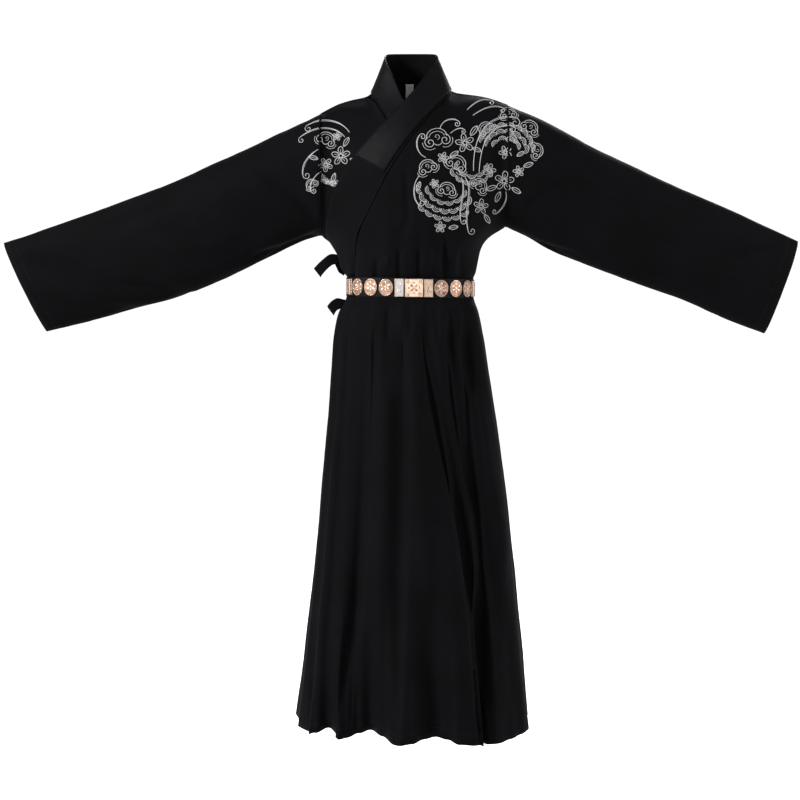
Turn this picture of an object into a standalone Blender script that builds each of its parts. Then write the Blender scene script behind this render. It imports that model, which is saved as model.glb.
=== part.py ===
"""Cross-collar robe with a pleated skirt and a plaque belt, filled out as if worn, with no wearer in it.

Metres, +Z up. The front faces -Y and +X is the wearer's left. The origin is the middle of the neck base,
on the line of the shoulders, where a wearer holds the robe up.

The bodice and the sleeves are one outline, seen from the front, that is filled out to a front sheet and a
back sheet. The skirt is a ring of pleats round a widening oval. Every piece of cloth is a wall of even
thickness with an edge of its own, a seam's gap away from the next piece.
"""
import math
from collections import namedtuple

import bmesh
import bpy
import numpy as np
from mathutils import Matrix, Vector

# ---- cloth -------------------------------------------------------------------------------------------
WALL = 0.0016            # thickness of a cloth wall
SEAM = 0.0003            # gap between two pieces at a seam
LAYER = 0.0012           # air between cloth and the cloth that lies on it
BELT_LAYER = 0.0005      # and where the belt presses them together
FRONT, BACK = -1, 1      # sign of y of the two sheets
LEFT, RIGHT = -1, 1      # sign of x, as seen from the front
SOFT = 0                 # a pleat with no steep side

# ---- bodice ------------------------------------------------------------------------------------------
BELT_TOP_Z = -0.3890     # cloth is drawn in below this height
NECK_HALF = 0.0885       # half width of the neck hole on the shoulder line

# Side seam from the armpit to the waist; above the armpit the edge is the upright armhole.
SideRow = namedtuple("SideRow", "z x")
SIDE_LEFT = (
    SideRow(-0.3080, -0.1920),
    SideRow(-0.3150, -0.1780),
    SideRow(-0.3360, -0.1615),
    SideRow(-0.3570, -0.1570),
    SideRow(-0.3750, -0.1520),
    SideRow(-0.3890, -0.1420),
    SideRow(-0.3930, -0.1350),
    SideRow(-0.4140, -0.1350),
)
SIDE_RIGHT = (
    SideRow(-0.2870, 0.2040),
    SideRow(-0.2950, 0.1850),
    SideRow(-0.3140, 0.1595),
    SideRow(-0.3360, 0.1481),
    SideRow(-0.3570, 0.1440),
    SideRow(-0.3750, 0.1405),
    SideRow(-0.3890, 0.1375),
    SideRow(-0.3930, 0.1328),
    SideRow(-0.4140, 0.1328),
)

# Top line of the shoulders. Between the neck points the two sheets rise on to lines that the neck hole cuts.
RidgeRow = namedtuple("RidgeRow", "x front back")
RIDGE = (
    RidgeRow(-0.1920, -0.0455, -0.0455),
    RidgeRow(-0.1500, -0.0246, -0.0246),
    RidgeRow(-0.1200, -0.0165, -0.0165),
    RidgeRow(-0.0885, -0.0090, -0.0090),
    RidgeRow(-0.0600, 0.0120, 0.0260),
    RidgeRow(0.0000, 0.0400, 0.0520),
    RidgeRow(0.0600, 0.0150, 0.0290),
    RidgeRow(0.0885, -0.0020, -0.0020),
    RidgeRow(0.1200, -0.0060, -0.0060),
    RidgeRow(0.1600, -0.0115, -0.0115),
    RidgeRow(0.2040, -0.0265, -0.0265),
)
TURN_DEPTH = {FRONT: 0.220, BACK: 0.160}   # height over which a sheet turns down from the shoulder line

DepthRow = namedtuple("DepthRow", "z front back")
BODY_DEPTH = (
    DepthRow(0.0500, 0.1080, 0.1120),
    DepthRow(-0.1500, 0.1180, 0.1190),
    DepthRow(-0.2800, 0.1180, 0.1140),
    DepthRow(-0.3500, 0.1120, 0.1110),
    DepthRow(-0.3750, 0.1095, 0.1100),
    DepthRow(-0.3890, 0.1065, 0.1080),
    DepthRow(-0.3930, 0.1014, 0.1038),
    DepthRow(-0.4140, 0.1014, 0.1038),
)
BODY_SQUARE = 2.4        # 2 is an oval section, more is boxier; it is oval under the belt
# Sides of the chest's own section above the waist, where the sleeves' cloth runs on past it.
DRAPE = (
    SideRow(-0.1000, -0.2050), SideRow(-0.2000, -0.1960), SideRow(-0.2500, -0.1860),
    SideRow(-0.3000, -0.1730), SideRow(-0.3360, -0.1620), SideRow(-0.3570, -0.1570),
), (
    SideRow(-0.1000, 0.2170), SideRow(-0.2000, 0.2070), SideRow(-0.2500, 0.1940),
    SideRow(-0.3000, 0.1710), SideRow(-0.3360, 0.1520), SideRow(-0.3570, 0.1440),
)
DRAPE_LOW_Z = -0.357
DRAPE_SOFT = 0.012       # how gently the chest's section meets the sleeves' cloth
SIDE_CLOSING = 12        # how late the two sheets close on each other at the side seam
ARM_DEPTH = 0.074        # half depth of the armhole
EGG_TOP = 0.42           # share of a sleeve's height above its widest point

# ---- sleeves -----------------------------------------------------------------------------------------
SleeveRow = namedtuple("SleeveRow", "top_x top_z low_x low_z depth sweep")
SLEEVE_LEFT = (
    SleeveRow(-0.1920, -0.0455, -0.1920, -0.3080, 0.074, 0.000),
    SleeveRow(-0.2450, -0.0710, -0.2300, -0.3130, 0.071, 0.000),
    SleeveRow(-0.3200, -0.1050, -0.2900, -0.3400, 0.066, -0.001),
    SleeveRow(-0.4200, -0.1510, -0.3750, -0.3840, 0.060, -0.003),
    SleeveRow(-0.5350, -0.2010, -0.4750, -0.4280, 0.055, -0.007),
    SleeveRow(-0.6500, -0.2440, -0.5800, -0.4590, 0.050, -0.012),
    SleeveRow(-0.7600, -0.2840, -0.6800, -0.4880, 0.045, -0.018),
    SleeveRow(-0.8690, -0.3205, -0.7790, -0.5110, 0.041, -0.024),
)
SLEEVE_RIGHT = (
    SleeveRow(0.2040, -0.0265, 0.2040, -0.2870, 0.074, 0.000),
    SleeveRow(0.2570, -0.0480, 0.2420, -0.3010, 0.071, 0.002),
    SleeveRow(0.3250, -0.0810, 0.3000, -0.3340, 0.066, 0.007),
    SleeveRow(0.4250, -0.1320, 0.3850, -0.3680, 0.060, 0.016),
    SleeveRow(0.5320, -0.1810, 0.4800, -0.4040, 0.055, 0.028),
    SleeveRow(0.6400, -0.2260, 0.5800, -0.4400, 0.050, 0.042),
    SleeveRow(0.7450, -0.2700, 0.6800, -0.4830, 0.045, 0.056),
    SleeveRow(0.8450, -0.3145, 0.7740, -0.5170, 0.041, 0.070),
)

# Soft folds of bodice and sleeves, as lines on the outline. A negative rise is a trough.
FoldRow = namedtuple("FoldRow", "sheet x0 z0 x1 z1 width rise")
FOLDS = (
    FoldRow(FRONT, -0.094, -0.385, -0.096, -0.335, 0.016, 0.004),
    FoldRow(FRONT, -0.049, -0.385, -0.046, -0.260, 0.016, 0.005),
    FoldRow(FRONT, -0.005, -0.385, 0.000, -0.230, 0.015, 0.005),
    FoldRow(FRONT, 0.042, -0.385, 0.043, -0.260, 0.017, 0.006),
    FoldRow(FRONT, 0.091, -0.385, 0.094, -0.300, 0.015, 0.005),
    FoldRow(BACK, -0.100, -0.385, -0.105, -0.320, 0.016, 0.005),
    FoldRow(BACK, -0.055, -0.385, -0.058, -0.270, 0.017, 0.006),
    FoldRow(BACK, -0.008, -0.385, -0.010, -0.240, 0.017, 0.005),
    FoldRow(BACK, 0.040, -0.385, 0.045, -0.270, 0.017, 0.006),
    FoldRow(BACK, 0.088, -0.385, 0.096, -0.310, 0.016, 0.005),
    FoldRow(FRONT, -0.840, -0.350, -0.500, -0.370, 0.034, -0.007),
    FoldRow(FRONT, -0.370, -0.300, -0.230, -0.230, 0.034, -0.006),
    FoldRow(FRONT, -0.450, -0.230, -0.240, -0.140, 0.036, 0.005),
    FoldRow(FRONT, 0.260, -0.120, 0.480, -0.230, 0.036, 0.006),
    FoldRow(FRONT, 0.270, -0.240, 0.440, -0.330, 0.034, -0.006),
    FoldRow(FRONT, 0.560, -0.320, 0.780, -0.370, 0.034, -0.006),
    FoldRow(BACK, -0.780, -0.380, -0.450, -0.280, 0.034, -0.007),
    FoldRow(BACK, -0.400, -0.290, -0.230, -0.190, 0.034, -0.006),
    FoldRow(BACK, 0.420, -0.290, 0.240, -0.190, 0.034, -0.006),
    FoldRow(BACK, 0.780, -0.380, 0.480, -0.270, 0.034, -0.006),
)
FOLD_FADE = 0.035        # folds die out this near to a seam line between the sheets
BELT_FADE = 0.015        # and this near to the belt

NECK_GAP = 0.0010        # the panels stop this far short of the collar's seam
ARMHOLE_GAP = 0.0012     # and the sleeves this far from the panels
OVERLAP_RUN = 0.100      # over this run the outer front comes down on the bodice and the under front sinks
# Columns of the bodice: at a fixed x, and beyond those as shares of the way to the side seam.
FIXED_COLUMNS = (-0.1190, -0.1040, -0.0895, -0.0750, -0.0600, -0.0450, -0.0300, -0.0150, 0.0,
                 0.0150, 0.0300, 0.0450, 0.0600, 0.0750, 0.0895, 0.1050, 0.1200)
LEFT_COLUMNS = tuple((LEFT, share) for share in (1.0, 0.90, 0.72, 0.48, 0.24))
RIGHT_COLUMNS = tuple((RIGHT, share) for share in (0.22, 0.48, 0.72, 0.90, 1.0))
OUTER_CORNER_X = -0.1110 # where the outer front's top edge turns down to its side edge
INNER_CORNER = 15        # fixed column at which the under front ends, hidden
ARM_ROWS = 10            # rows of cloth from the shoulder line to the armpit
ARM_START, ARM_RUN = 0.090, 0.070    # rows go from evenly spaced to the sleeve's spacing from here, over this
SIDE_STEPS = (0.16, 0.33, 0.50, 0.68, 0.85, 1.0)   # further rows, as shares of the way from armpit to belt
BELT_ROWS = (-0.3930, -0.4138)               # and the two rows that the belt covers, down to the waist seam
SLEEVE_RINGS = 14

# ---- collar ------------------------------------------------------------------------------------------
# Sections of the band from its outer end at the side, up over the chest, round the neck and down under the
# other front. seam is the edge sewn to the robe, free the other one. stand is 0 where the band lies on the
# robe and 1 where it stands up; lift is how far its face lies outside the bodice.
CollarRow = namedtuple("CollarRow", "seam_x seam_z sheet free_x free_y free_z stand lift")
COLLAR = (
    CollarRow(-0.1196, -0.3865, FRONT, -0.1430, 0.000, -0.3865, 0.0, 0.0022),
    CollarRow(-0.1170, -0.3450, FRONT, -0.1550, 0.000, -0.3450, 0.0, 0.0036),
    CollarRow(-0.1110, -0.3030, FRONT, -0.1810, 0.000, -0.2960, 0.0, 0.0044),
    CollarRow(-0.0985, -0.2760, FRONT, -0.1725, 0.000, -0.2480, 0.0, 0.0032),
    CollarRow(-0.0862, -0.2520, FRONT, -0.1590, 0.000, -0.2080, 0.0, 0.0028),
    CollarRow(-0.0700, -0.2180, FRONT, -0.1400, 0.000, -0.1740, 0.0, 0.0028),
    CollarRow(-0.0500, -0.1790, FRONT, -0.1176, 0.000, -0.1400, 0.0, 0.0028),
    CollarRow(-0.0120, -0.1200, FRONT, -0.0700, 0.000, -0.0860, 0.0, 0.0028),
    CollarRow(0.0340, -0.0610, FRONT, -0.0140, -0.083, -0.0270, 0.1, 0.0022),
    CollarRow(0.0680, -0.0230, FRONT, 0.0210, -0.066, 0.0180, 0.6, 0.0010),
    CollarRow(0.0885, -0.0020, FRONT, 0.0560, -0.014, 0.0700, 1.0, 0.0000),
    CollarRow(0.0650, 0.0165, BACK, 0.0480, 0.030, 0.0840, 1.0, 0.0000),
    CollarRow(0.0000, 0.0300, BACK, 0.0000, 0.050, 0.0870, 1.0, 0.0000),
    CollarRow(-0.0650, 0.0150, BACK, -0.0480, 0.030, 0.0840, 1.0, 0.0000),
    CollarRow(-0.0885, -0.0090, BACK, -0.0550, -0.014, 0.0700, 1.0, 0.0000),
    CollarRow(-0.0770, -0.0210, FRONT, -0.0360, -0.060, 0.0230, 0.8, -0.0006),
    CollarRow(-0.0660, -0.0390, FRONT, -0.0150, -0.076, -0.0270, 0.2, -0.0020),
    CollarRow(-0.0530, -0.0600, FRONT, 0.0010, 0.000, -0.0420, 0.0, -0.0024),
    CollarRow(-0.0320, -0.1000, FRONT, 0.0230, 0.000, -0.0720, 0.0, -0.0024),
    CollarRow(0.0000, -0.1550, FRONT, 0.0500, 0.000, -0.1180, 0.0, -0.0024),
)
NECK_LEFT, NECK_RIGHT = 10, 14       # sections at the neck points: wearer's left, wearer's right
COLLAR_STEPS = 3                     # columns of cloth from one section to the next
COLLAR_SHARES = (0.0, 0.10, 0.32, 0.55, 0.78, 1.0)   # rows from the seam edge to the free edge
GUARD_START, GUARD_END = 6, 18       # first and last section under the guard, which leaves the first row bare
GUARD_WALL, GUARD_GAP = 0.0014, 0.0006
EdgeRow = namedtuple("EdgeRow", "x z")
INNER_EDGE = (EdgeRow(0.000, -0.155), EdgeRow(0.050, -0.235), EdgeRow(0.085, -0.300),
              EdgeRow(0.105, -0.345))   # its edge on from the end of the band

# ---- skirt -------------------------------------------------------------------------------------------
SkirtRow = namedtuple("SkirtRow", "z left right front back")
SKIRT = (
    SkirtRow(-0.4142, -0.1372, 0.1328, 0.1038, 0.1038),
    SkirtRow(-0.4400, -0.1372, 0.1328, 0.1038, 0.1038),
    SkirtRow(-0.4550, -0.1500, 0.1400, 0.1120, 0.1120),
    SkirtRow(-0.4860, -0.1600, 0.1460, 0.1190, 0.1200),
    SkirtRow(-0.5400, -0.1660, 0.1550, 0.1270, 0.1290),
    SkirtRow(-0.6370, -0.1700, 0.1690, 0.1380, 0.1420),
    SkirtRow(-0.7460, -0.1790, 0.1850, 0.1490, 0.1550),
    SkirtRow(-0.8540, -0.1870, 0.1990, 0.1590, 0.1670),
    SkirtRow(-0.9900, -0.1980, 0.2120, 0.1700, 0.1800),
    SkirtRow(-1.1300, -0.2110, 0.2250, 0.1820, 0.1940),
    SkirtRow(-1.2500, -0.2240, 0.2350, 0.1910, 0.2040),
    SkirtRow(-1.3550, -0.2360, 0.2430, 0.1980, 0.2130),
)
KNEE_Z = -0.95
HEM_Z = -1.355

# Pleats by the direction of their crest, in degrees from the front towards +X, at waist, knee and hem.
# steep is the side on which the cloth drops back, if it has one. The depths are in millimetres at waist,
# knee and hem.
PleatRow = namedtuple("PleatRow", "waist knee hem steep depth_waist depth_knee depth_hem")
FRONT_PLEATS = (
    PleatRow(-52, -44, -37, LEFT, 5, 14, 24),
    PleatRow(-29, -31, -31, LEFT, 8, 9, 3),
    PleatRow(-6, -6, -6, LEFT, 8, 15, 26),
    PleatRow(8, 28, 33, RIGHT, 8, 17, 26),
    PleatRow(29, 36, 40, RIGHT, 8, 6, 0),
    PleatRow(45, 44, 46, RIGHT, 7, 6, 0),
    PleatRow(64, 61, 63, SOFT, 6, 12, 20),
    PleatRow(90, 90, 90, SOFT, 0, 0, 0),
)
BACK_PLEATS = (
    PleatRow(90, 90, 90, SOFT, 0, 0, 0),
    PleatRow(104, 106, 108, RIGHT, 7, 12, 19),
    PleatRow(125, 123, 122, RIGHT, 8, 9, 6),
    PleatRow(145, 144, 140, RIGHT, 8, 14, 24),
    PleatRow(165, 163, 160, RIGHT, 8, 12, 18),
    PleatRow(196, 198, 201, LEFT, 8, 12, 18),
    PleatRow(216, 217, 221, LEFT, 8, 14, 24),
    PleatRow(236, 238, 240, LEFT, 7, 9, 6),
    PleatRow(254, 253, 252, LEFT, 7, 12, 19),
    PleatRow(270, 270, 270, SOFT, 0, 0, 0),
)
INNER_PLEATS = (
    PleatRow(-90, -90, -90, SOFT, 0, 0, 0),
    PleatRow(-76, -75, -76, LEFT, 6, 8, 10),
    PleatRow(-63, -60, -58, LEFT, 6, 11, 17),
    PleatRow(-40, -34, -28, SOFT, 0, 0, 0),
    PleatRow(-14, -10, -4, SOFT, 0, 0, 0),
    PleatRow(14, 14, 17, SOFT, 0, 0, 0),
    PleatRow(42, 40, 38, SOFT, 0, 0, 0),
)
PLEAT_START = 0.020      # the pleats open out over this height below the belt
PLEAT_STEPS = (0.0, 0.12, 0.26, 0.52, 0.80)   # columns of cloth from one crest to the next
PLAIN_STEPS = (0.0, 0.34, 0.67)              # and where there is no crest
STEEP_SHARE, GENTLE_SHARE = 0.24, 0.85
INNER_DROP = 0.0024      # the under lap lies this far inside the oval of the skirt

# ---- belt --------------------------------------------------------------------------------------------
BELT_MID = Vector((-0.0022, 0.0, -0.4165))
BELT_HALF_X, BELT_HALF_Y = 0.1359, 0.1048    # inner face of the band
BELT_WALL = 0.0018
BELT_HEIGHT = 0.040
BELT_TILT = math.radians(1.0)                # it hangs lower on the wearer's left
BELT_COLUMNS = 60
PLAQUE_WALL, PLAQUE_RIM = 0.0022, 0.0008     # and the bevel round a plaque's face
PlaqueRow = namedtuple("PlaqueRow", "name shape width height gap")
MIDDLE_PLAQUE = PlaqueRow("plaque_middle", "plate", 0.0390, 0.0370, 0.0)
SIDE_PLAQUES = (
    PlaqueRow("plaque_narrow", "plate", 0.0195, 0.0370, 0.0014),
    PlaqueRow("plaque_oval_1", "oval", 0.0310, 0.0355, 0.0030),
    PlaqueRow("plaque_oval_2", "oval", 0.0310, 0.0355, 0.0042),
    PlaqueRow("plaque_oval_3", "oval", 0.0310, 0.0355, 0.0042),
    PlaqueRow("plaque_bar_1", "plate", 0.0125, 0.0330, 0.0022),
    PlaqueRow("plaque_bar_2", "plate", 0.0125, 0.0330, 0.0022),
)
MIDDLE_SHIFT = 0.0075    # the middle plaque sits this far to the wearer's left of the belt's own middle

# ---- ties and label ----------------------------------------------------------------------------------
TIE_WIDTH, TIE_WALL = 0.015, 0.0014
TieRow = namedtuple("TieRow", "name path broad")
TIES = (
    TieRow("tie_upper_tail",
           ((-0.1608, -0.005, -0.3460), (-0.1740, -0.013, -0.3480), (-0.1880, -0.020, -0.3600),
            (-0.2000, -0.022, -0.3760)),
           ((0.0, 0.25, 1.0), (-0.62, 0.30, 0.78))),
    TieRow("tie_upper_end",
           ((-0.1602, -0.0130, -0.3538), (-0.1590, -0.020, -0.3680), (-0.1560, -0.026, -0.3800),
            (-0.1530, -0.028, -0.3900)),
           ((-0.3, 1.0, 0.0), (-0.5, 1.0, 0.2))),
    TieRow("tie_lower_loop",
           ((-0.1429, -0.006, -0.4430), (-0.1560, -0.010, -0.4450), (-0.1660, -0.014, -0.4530),
            (-0.1720, -0.017, -0.4660)),
           ((0.1, 0.3, 1.0), (-0.55, 0.30, 0.78))),
)
LABEL_X, LABEL_WIDTH, LABEL_HEIGHT, LABEL_WALL = -0.0030, 0.0175, 0.034, 0.0010
LABEL_TOP_BELOW_SEAM, LABEL_GAP = 0.004, 0.0032

# ---- finishes ----------------------------------------------------------------------------------------
Finish = namedtuple("Finish", "colour roughness metallic")
FINISHES = {
    "black_cloth": Finish((0.008, 0.008, 0.010), 0.85, 0.0),
    "black_satin": Finish((0.012, 0.012, 0.014), 0.32, 0.0),
    "belt_strap": Finish((0.010, 0.010, 0.011), 0.55, 0.0),
    "rose_gold": Finish((0.62, 0.36, 0.26), 0.35, 1.0),
    "white_label": Finish((0.80, 0.80, 0.80), 0.80, 0.0),
}


# ---- working from tables ------------------------------------------------------------------------------

def smooth(t):
    """Ease from 0 to 1 while t goes from 0 to 1."""
    t = min(1.0, max(0.0, t))
    return t * t * (3.0 - 2.0 * t)


def along(keys, values, key):
    """Value at key on a smooth curve through a table's column, with no overshoot between its rows."""
    keys, values = np.asarray(keys, float), np.asarray(values, float)
    if keys[0] > keys[-1]:
        keys, values = keys[::-1], values[::-1]
    key = min(max(key, keys[0]), keys[-1])
    steps = np.diff(keys)
    slopes = np.diff(values) / steps
    turns = np.zeros(len(keys))
    for i in range(1, len(keys) - 1):
        if slopes[i - 1] * slopes[i] > 0.0:
            turns[i] = 2.0 * slopes[i - 1] * slopes[i] / (slopes[i - 1] + slopes[i])
    turns[0], turns[-1] = slopes[0], slopes[-1]
    i = min(int(np.searchsorted(keys, key, side="right")) - 1, len(steps) - 1)
    t = (key - keys[i]) / steps[i]
    return ((1 + 2 * t) * (1 - t) ** 2 * values[i] + t * (1 - t) ** 2 * steps[i] * turns[i]
            + t * t * (3 - 2 * t) * values[i + 1] + t * t * (t - 1) * steps[i] * turns[i + 1])


def column(table, name):
    """One named column of a table."""
    return [getattr(row, name) for row in table]


def at(table, name, key, key_name="z"):
    """A table's named column, read at a key."""
    return float(along(column(table, key_name), column(table, name), key))


# ---- walls of cloth -----------------------------------------------------------------------------------

def face_normals(grid, ring):
    """Unit normals of a grid of points. Where an edge lies on a seam between the two sheets, the cloth
    beyond it is taken to be the mirror of this side, so that both sheets turn over the seam alike."""
    rows, cols = grid.shape[:2]
    before = np.empty((rows + 2, cols + 2, 3))
    before[1:-1, 1:-1] = grid

    def beyond(edge, inner, is_side):
        mirrored = inner * np.array((1.0, -1.0, 1.0))
        on_seam = np.abs(edge[:, 1:2]) < 0.6 * SEAM
        on_seam[0] &= not is_side
        on_seam &= not ring
        return np.where(on_seam, mirrored, 2 * edge - inner)

    before[0, 1:-1] = beyond(grid[0], grid[1], False)
    before[-1, 1:-1] = 2 * grid[-1] - grid[-2]
    if ring:
        before[:, 0] = before[:, -2]
        before[:, -1] = before[:, 1]
    else:
        before[1:-1, 0] = beyond(grid[:, 0], grid[:, 1], True)
        before[1:-1, -1] = beyond(grid[:, -1], grid[:, -2], True)
    down = before[2:, 1:-1] - before[:-2, 1:-1]
    across = before[1:-1, 2:] - before[1:-1, :-2]
    normals = np.cross(across, down)
    return normals / np.linalg.norm(normals, axis=2, keepdims=True)


def cloth_wall(name, grid, finish, collection, thickness=WALL, ring=False, outward=1):
    """A closed wall between the outer face, a grid of points, and an inner face a thickness behind it."""
    normals = outward * face_normals(grid, ring)
    layers = (grid, grid - normals * thickness)
    rows, cols = grid.shape[:2]
    bm = bmesh.new()
    outer, inner = ([[bm.verts.new(p) for p in row] for row in layer] for layer in layers)
    wrap = cols if ring else cols - 1
    for r in range(rows - 1):
        for c in range(wrap):
            d = (c + 1) % cols
            bm.faces.new((outer[r][c], outer[r][d], outer[r + 1][d], outer[r + 1][c]))
            bm.faces.new((inner[r][c], inner[r + 1][c], inner[r + 1][d], inner[r][d]))
    for r in (0, rows - 1):
        for c in range(wrap):
            d = (c + 1) % cols
            bm.faces.new((outer[r][c], outer[r][d], inner[r][d], inner[r][c]))
    for c in () if ring else (0, cols - 1):
        for r in range(rows - 1):
            bm.faces.new((outer[r][c], outer[r + 1][c], inner[r + 1][c], inner[r][c]))
    bmesh.ops.triangulate(bm, faces=bm.faces, quad_method="FIXED")
    bmesh.ops.recalc_face_normals(bm, faces=bm.faces)
    return finished(name, bm, finish, collection)


def finished(name, bm, finish, collection):
    """Turn a bmesh into the named piece with its own material."""
    mesh = bpy.data.meshes.new(name)
    bm.to_mesh(mesh)
    bm.free()
    material = bpy.data.materials.new(name)
    material.use_nodes = True
    shader = material.node_tree.nodes["Principled BSDF"]
    look = FINISHES[finish]
    shader.inputs["Base Color"].default_value = (*look.colour, 1.0)
    shader.inputs["Roughness"].default_value = look.roughness
    shader.inputs["Metallic"].default_value = look.metallic
    material.diffuse_color = (*look.colour, 1.0)
    mesh.materials.append(material)
    piece = bpy.data.objects.new(name, mesh)
    collection.objects.link(piece)
    return piece


# ---- the outline filled out: bodice and sleeves -------------------------------------------------------

def egg(turn):
    """Share of the way down a sleeve's section and of its half depth, at a turn from 0 at the top to pi."""
    down = EGG_TOP * (1 - math.cos(turn)) if turn < math.pi / 2 else EGG_TOP - (1 - EGG_TOP) * math.cos(turn)
    return down, math.sin(turn)


def egg_depth(down):
    """Half depth of a sleeve's section at a share of the way down it."""
    reach = (EGG_TOP - down) / EGG_TOP if down < EGG_TOP else (down - EGG_TOP) / (1 - EGG_TOP)
    return math.sqrt(max(0.0, 1.0 - reach * reach))


def armpit_z(x):
    """Height of the armpits, which differs a little from side to side."""
    share = (x - SIDE_LEFT[0].x) / (SIDE_RIGHT[0].x - SIDE_LEFT[0].x)
    return SIDE_LEFT[0].z + share * (SIDE_RIGHT[0].z - SIDE_LEFT[0].z)


def ridge_z(x, sheet):
    """Height of the shoulder line, or of the line above the neck hole that a sheet rises to."""
    return at(RIDGE, "front" if sheet == FRONT else "back", x, "x")


def body_depth(x, z, sheet):
    """Half depth of the bodice at a place of its outline."""
    left, right = at(SIDE_LEFT, "x", z), at(SIDE_RIGHT, "x", z)
    chest_left, chest_right = (at(table, "x", z) for table in DRAPE) if z > DRAPE_LOW_Z else (left, right)
    middle, half = (chest_left + chest_right) / 2, (chest_right - chest_left) / 2
    loose = smooth((z - BELT_TOP_Z) / 0.06)
    square = 2.0 + (BODY_SQUARE - 2.0) * loose
    top = ridge_z(x, sheet)
    turned = min(1.0, max(0.0, (top - z) / TURN_DEPTH[sheet]))
    chest = at(BODY_DEPTH, "front" if sheet == FRONT else "back", z) * math.sqrt(1 - (1 - turned) ** 2)
    section = 1.0 - (abs(x - middle) / half) ** square
    section = (section + math.sqrt(section ** 2 + DRAPE_SOFT * loose)) / 2
    side = left if x < middle else right
    edge = min(1.0, (x - middle) / (side - middle))
    arm_top, arm_low = ridge_z(side, sheet), armpit_z(side)
    arm = ARM_DEPTH * egg_depth((arm_top - z) / (arm_top - arm_low)) if arm_top > z > arm_low else 0.0
    closing = 1.0 - edge ** (SIDE_CLOSING / max(loose, 0.05))
    return math.sqrt((arm * edge ** 4) ** 2 + chest ** 2 * max(0.0, section) * closing)


def fold_rise(x, z, sheet):
    """Sum of the soft folds at a place of the outline."""
    rise = 0.0
    for fold in FOLDS:
        if fold.sheet != sheet:
            continue
        run_x, run_z = fold.x1 - fold.x0, fold.z1 - fold.z0
        length = math.hypot(run_x, run_z)
        share = ((x - fold.x0) * run_x + (z - fold.z0) * run_z) / length ** 2
        aside = ((x - fold.x0) * run_z - (z - fold.z0) * run_x) / length
        strength = smooth(min(share + 0.15, 1.0 - share) / 0.35)
        rise += fold.rise * strength * math.exp(-(aside / fold.width) ** 2)
    return rise


def with_folds(grid, sheet):
    """Push a bodice sheet's outer points along its normals by the folds, out or in."""
    normals = sheet * face_normals(grid, False)
    moved = grid.copy()
    for place in np.ndindex(grid.shape[:2]):
        x, y, z = grid[place]
        near_seam = smooth(abs(y) / FOLD_FADE)
        at_belt = smooth((z - BELT_TOP_Z) / BELT_FADE)
        moved[place] += normals[place] * fold_rise(x, z, sheet) * near_seam * at_belt
    return moved


def column_x(place, z):
    """x of one of the bodice's columns at a height: fixed between the outermost fixed ones, and spread
    out to the side seam beyond them."""
    if isinstance(place, tuple):
        side, share = place
        start = FIXED_COLUMNS[0] if side == LEFT else FIXED_COLUMNS[-1]
        edge = at(SIDE_LEFT if side == LEFT else SIDE_RIGHT, "x", z)
        return start + (edge - start) * share
    return place


def bodice_grid(sheet, places, top_of, lift_of, edge_of=None, has_folds=True):
    """Outer points of a bodice panel. places are its columns, top_of gives the height of its top edge at
    an x, lift_of how far it lies outside the bodice, and edge_of the x of a first column that isn't one
    of the bodice's own."""
    lines = []
    for place in places:
        x_top = column_x(place, 0.0)
        ridge, top = ridge_z(x_top, sheet), top_of(x_top)
        low = armpit_z(x_top)
        by_arm = smooth((abs(x_top) - ARM_START) / ARM_RUN)
        downs = [by_arm * egg(math.pi * r / ARM_ROWS)[0] + (1 - by_arm) * r / ARM_ROWS
                 for r in range(ARM_ROWS + 1)]
        heights = [ridge - (ridge - low) * down for down in downs]
        heights += [low + (BELT_TOP_Z - low) * step for step in SIDE_STEPS]
        squeeze = (top - BELT_TOP_Z) / (ridge - BELT_TOP_Z)
        heights = [BELT_TOP_Z + (z - BELT_TOP_Z) * squeeze for z in heights]
        heights += BELT_ROWS
        line = []
        for z in heights:
            x = edge_of(z) if edge_of and place == places[0] else column_x(place, z)
            line.append((x, sheet * max(body_depth(x, z, sheet), SEAM / 2), z))
        lines.append(line)
    grid = np.array(lines).transpose(1, 0, 2)
    if has_folds:
        grid = with_folds(grid, sheet)
    lifts = np.array([[lift_of(x, z) for x, _, z in row] for row in grid])
    return grid + sheet * face_normals(grid, False) * lifts[:, :, None]


def sleeve_grid(table):
    """Outer points of a sleeve: egg-shaped rings from the armhole to the cuff, whole rings of both sheets."""
    rings = []
    keys = list(range(len(table)))
    for r in range(SLEEVE_RINGS + 1):
        key = r / SLEEVE_RINGS * (len(table) - 1)
        row = SleeveRow(*(float(along(keys, column(table, name), key)) for name in SleeveRow._fields))
        if r == 0:
            row = row._replace(top_x=row.top_x + math.copysign(ARMHOLE_GAP, row.top_x),
                               low_x=row.low_x + math.copysign(ARMHOLE_GAP, row.low_x))
        ring = []
        for c in range(2 * ARM_ROWS):
            turn = math.pi * c / ARM_ROWS
            sheet = FRONT if turn <= math.pi else BACK
            down, wide = egg(turn if sheet == FRONT else 2 * math.pi - turn)
            x = row.top_x + (row.low_x - row.top_x) * down
            z = row.top_z + (row.low_z - row.top_z) * down
            rise = fold_rise(x, z, sheet) * smooth(wide / 0.5) * smooth(r / 2)
            ring.append((x, row.sweep + sheet * (row.depth * abs(wide) + rise), z))
        rings.append(ring)
    return np.array(rings)


# ---- collar -------------------------------------------------------------------------------------------

def collar_row(key):
    """The collar's section at a place between its rows."""
    keys = list(range(len(COLLAR)))
    read = {name: float(along(keys, column(COLLAR, name), key))
            for name in CollarRow._fields if name not in ("sheet", "free_y")}
    flat = [r.free_y for r in COLLAR]
    read["sheet"] = BACK if NECK_LEFT < key < NECK_RIGHT else FRONT
    read["free_y"] = float(along(keys, flat, key))
    return CollarRow(**read)


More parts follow.
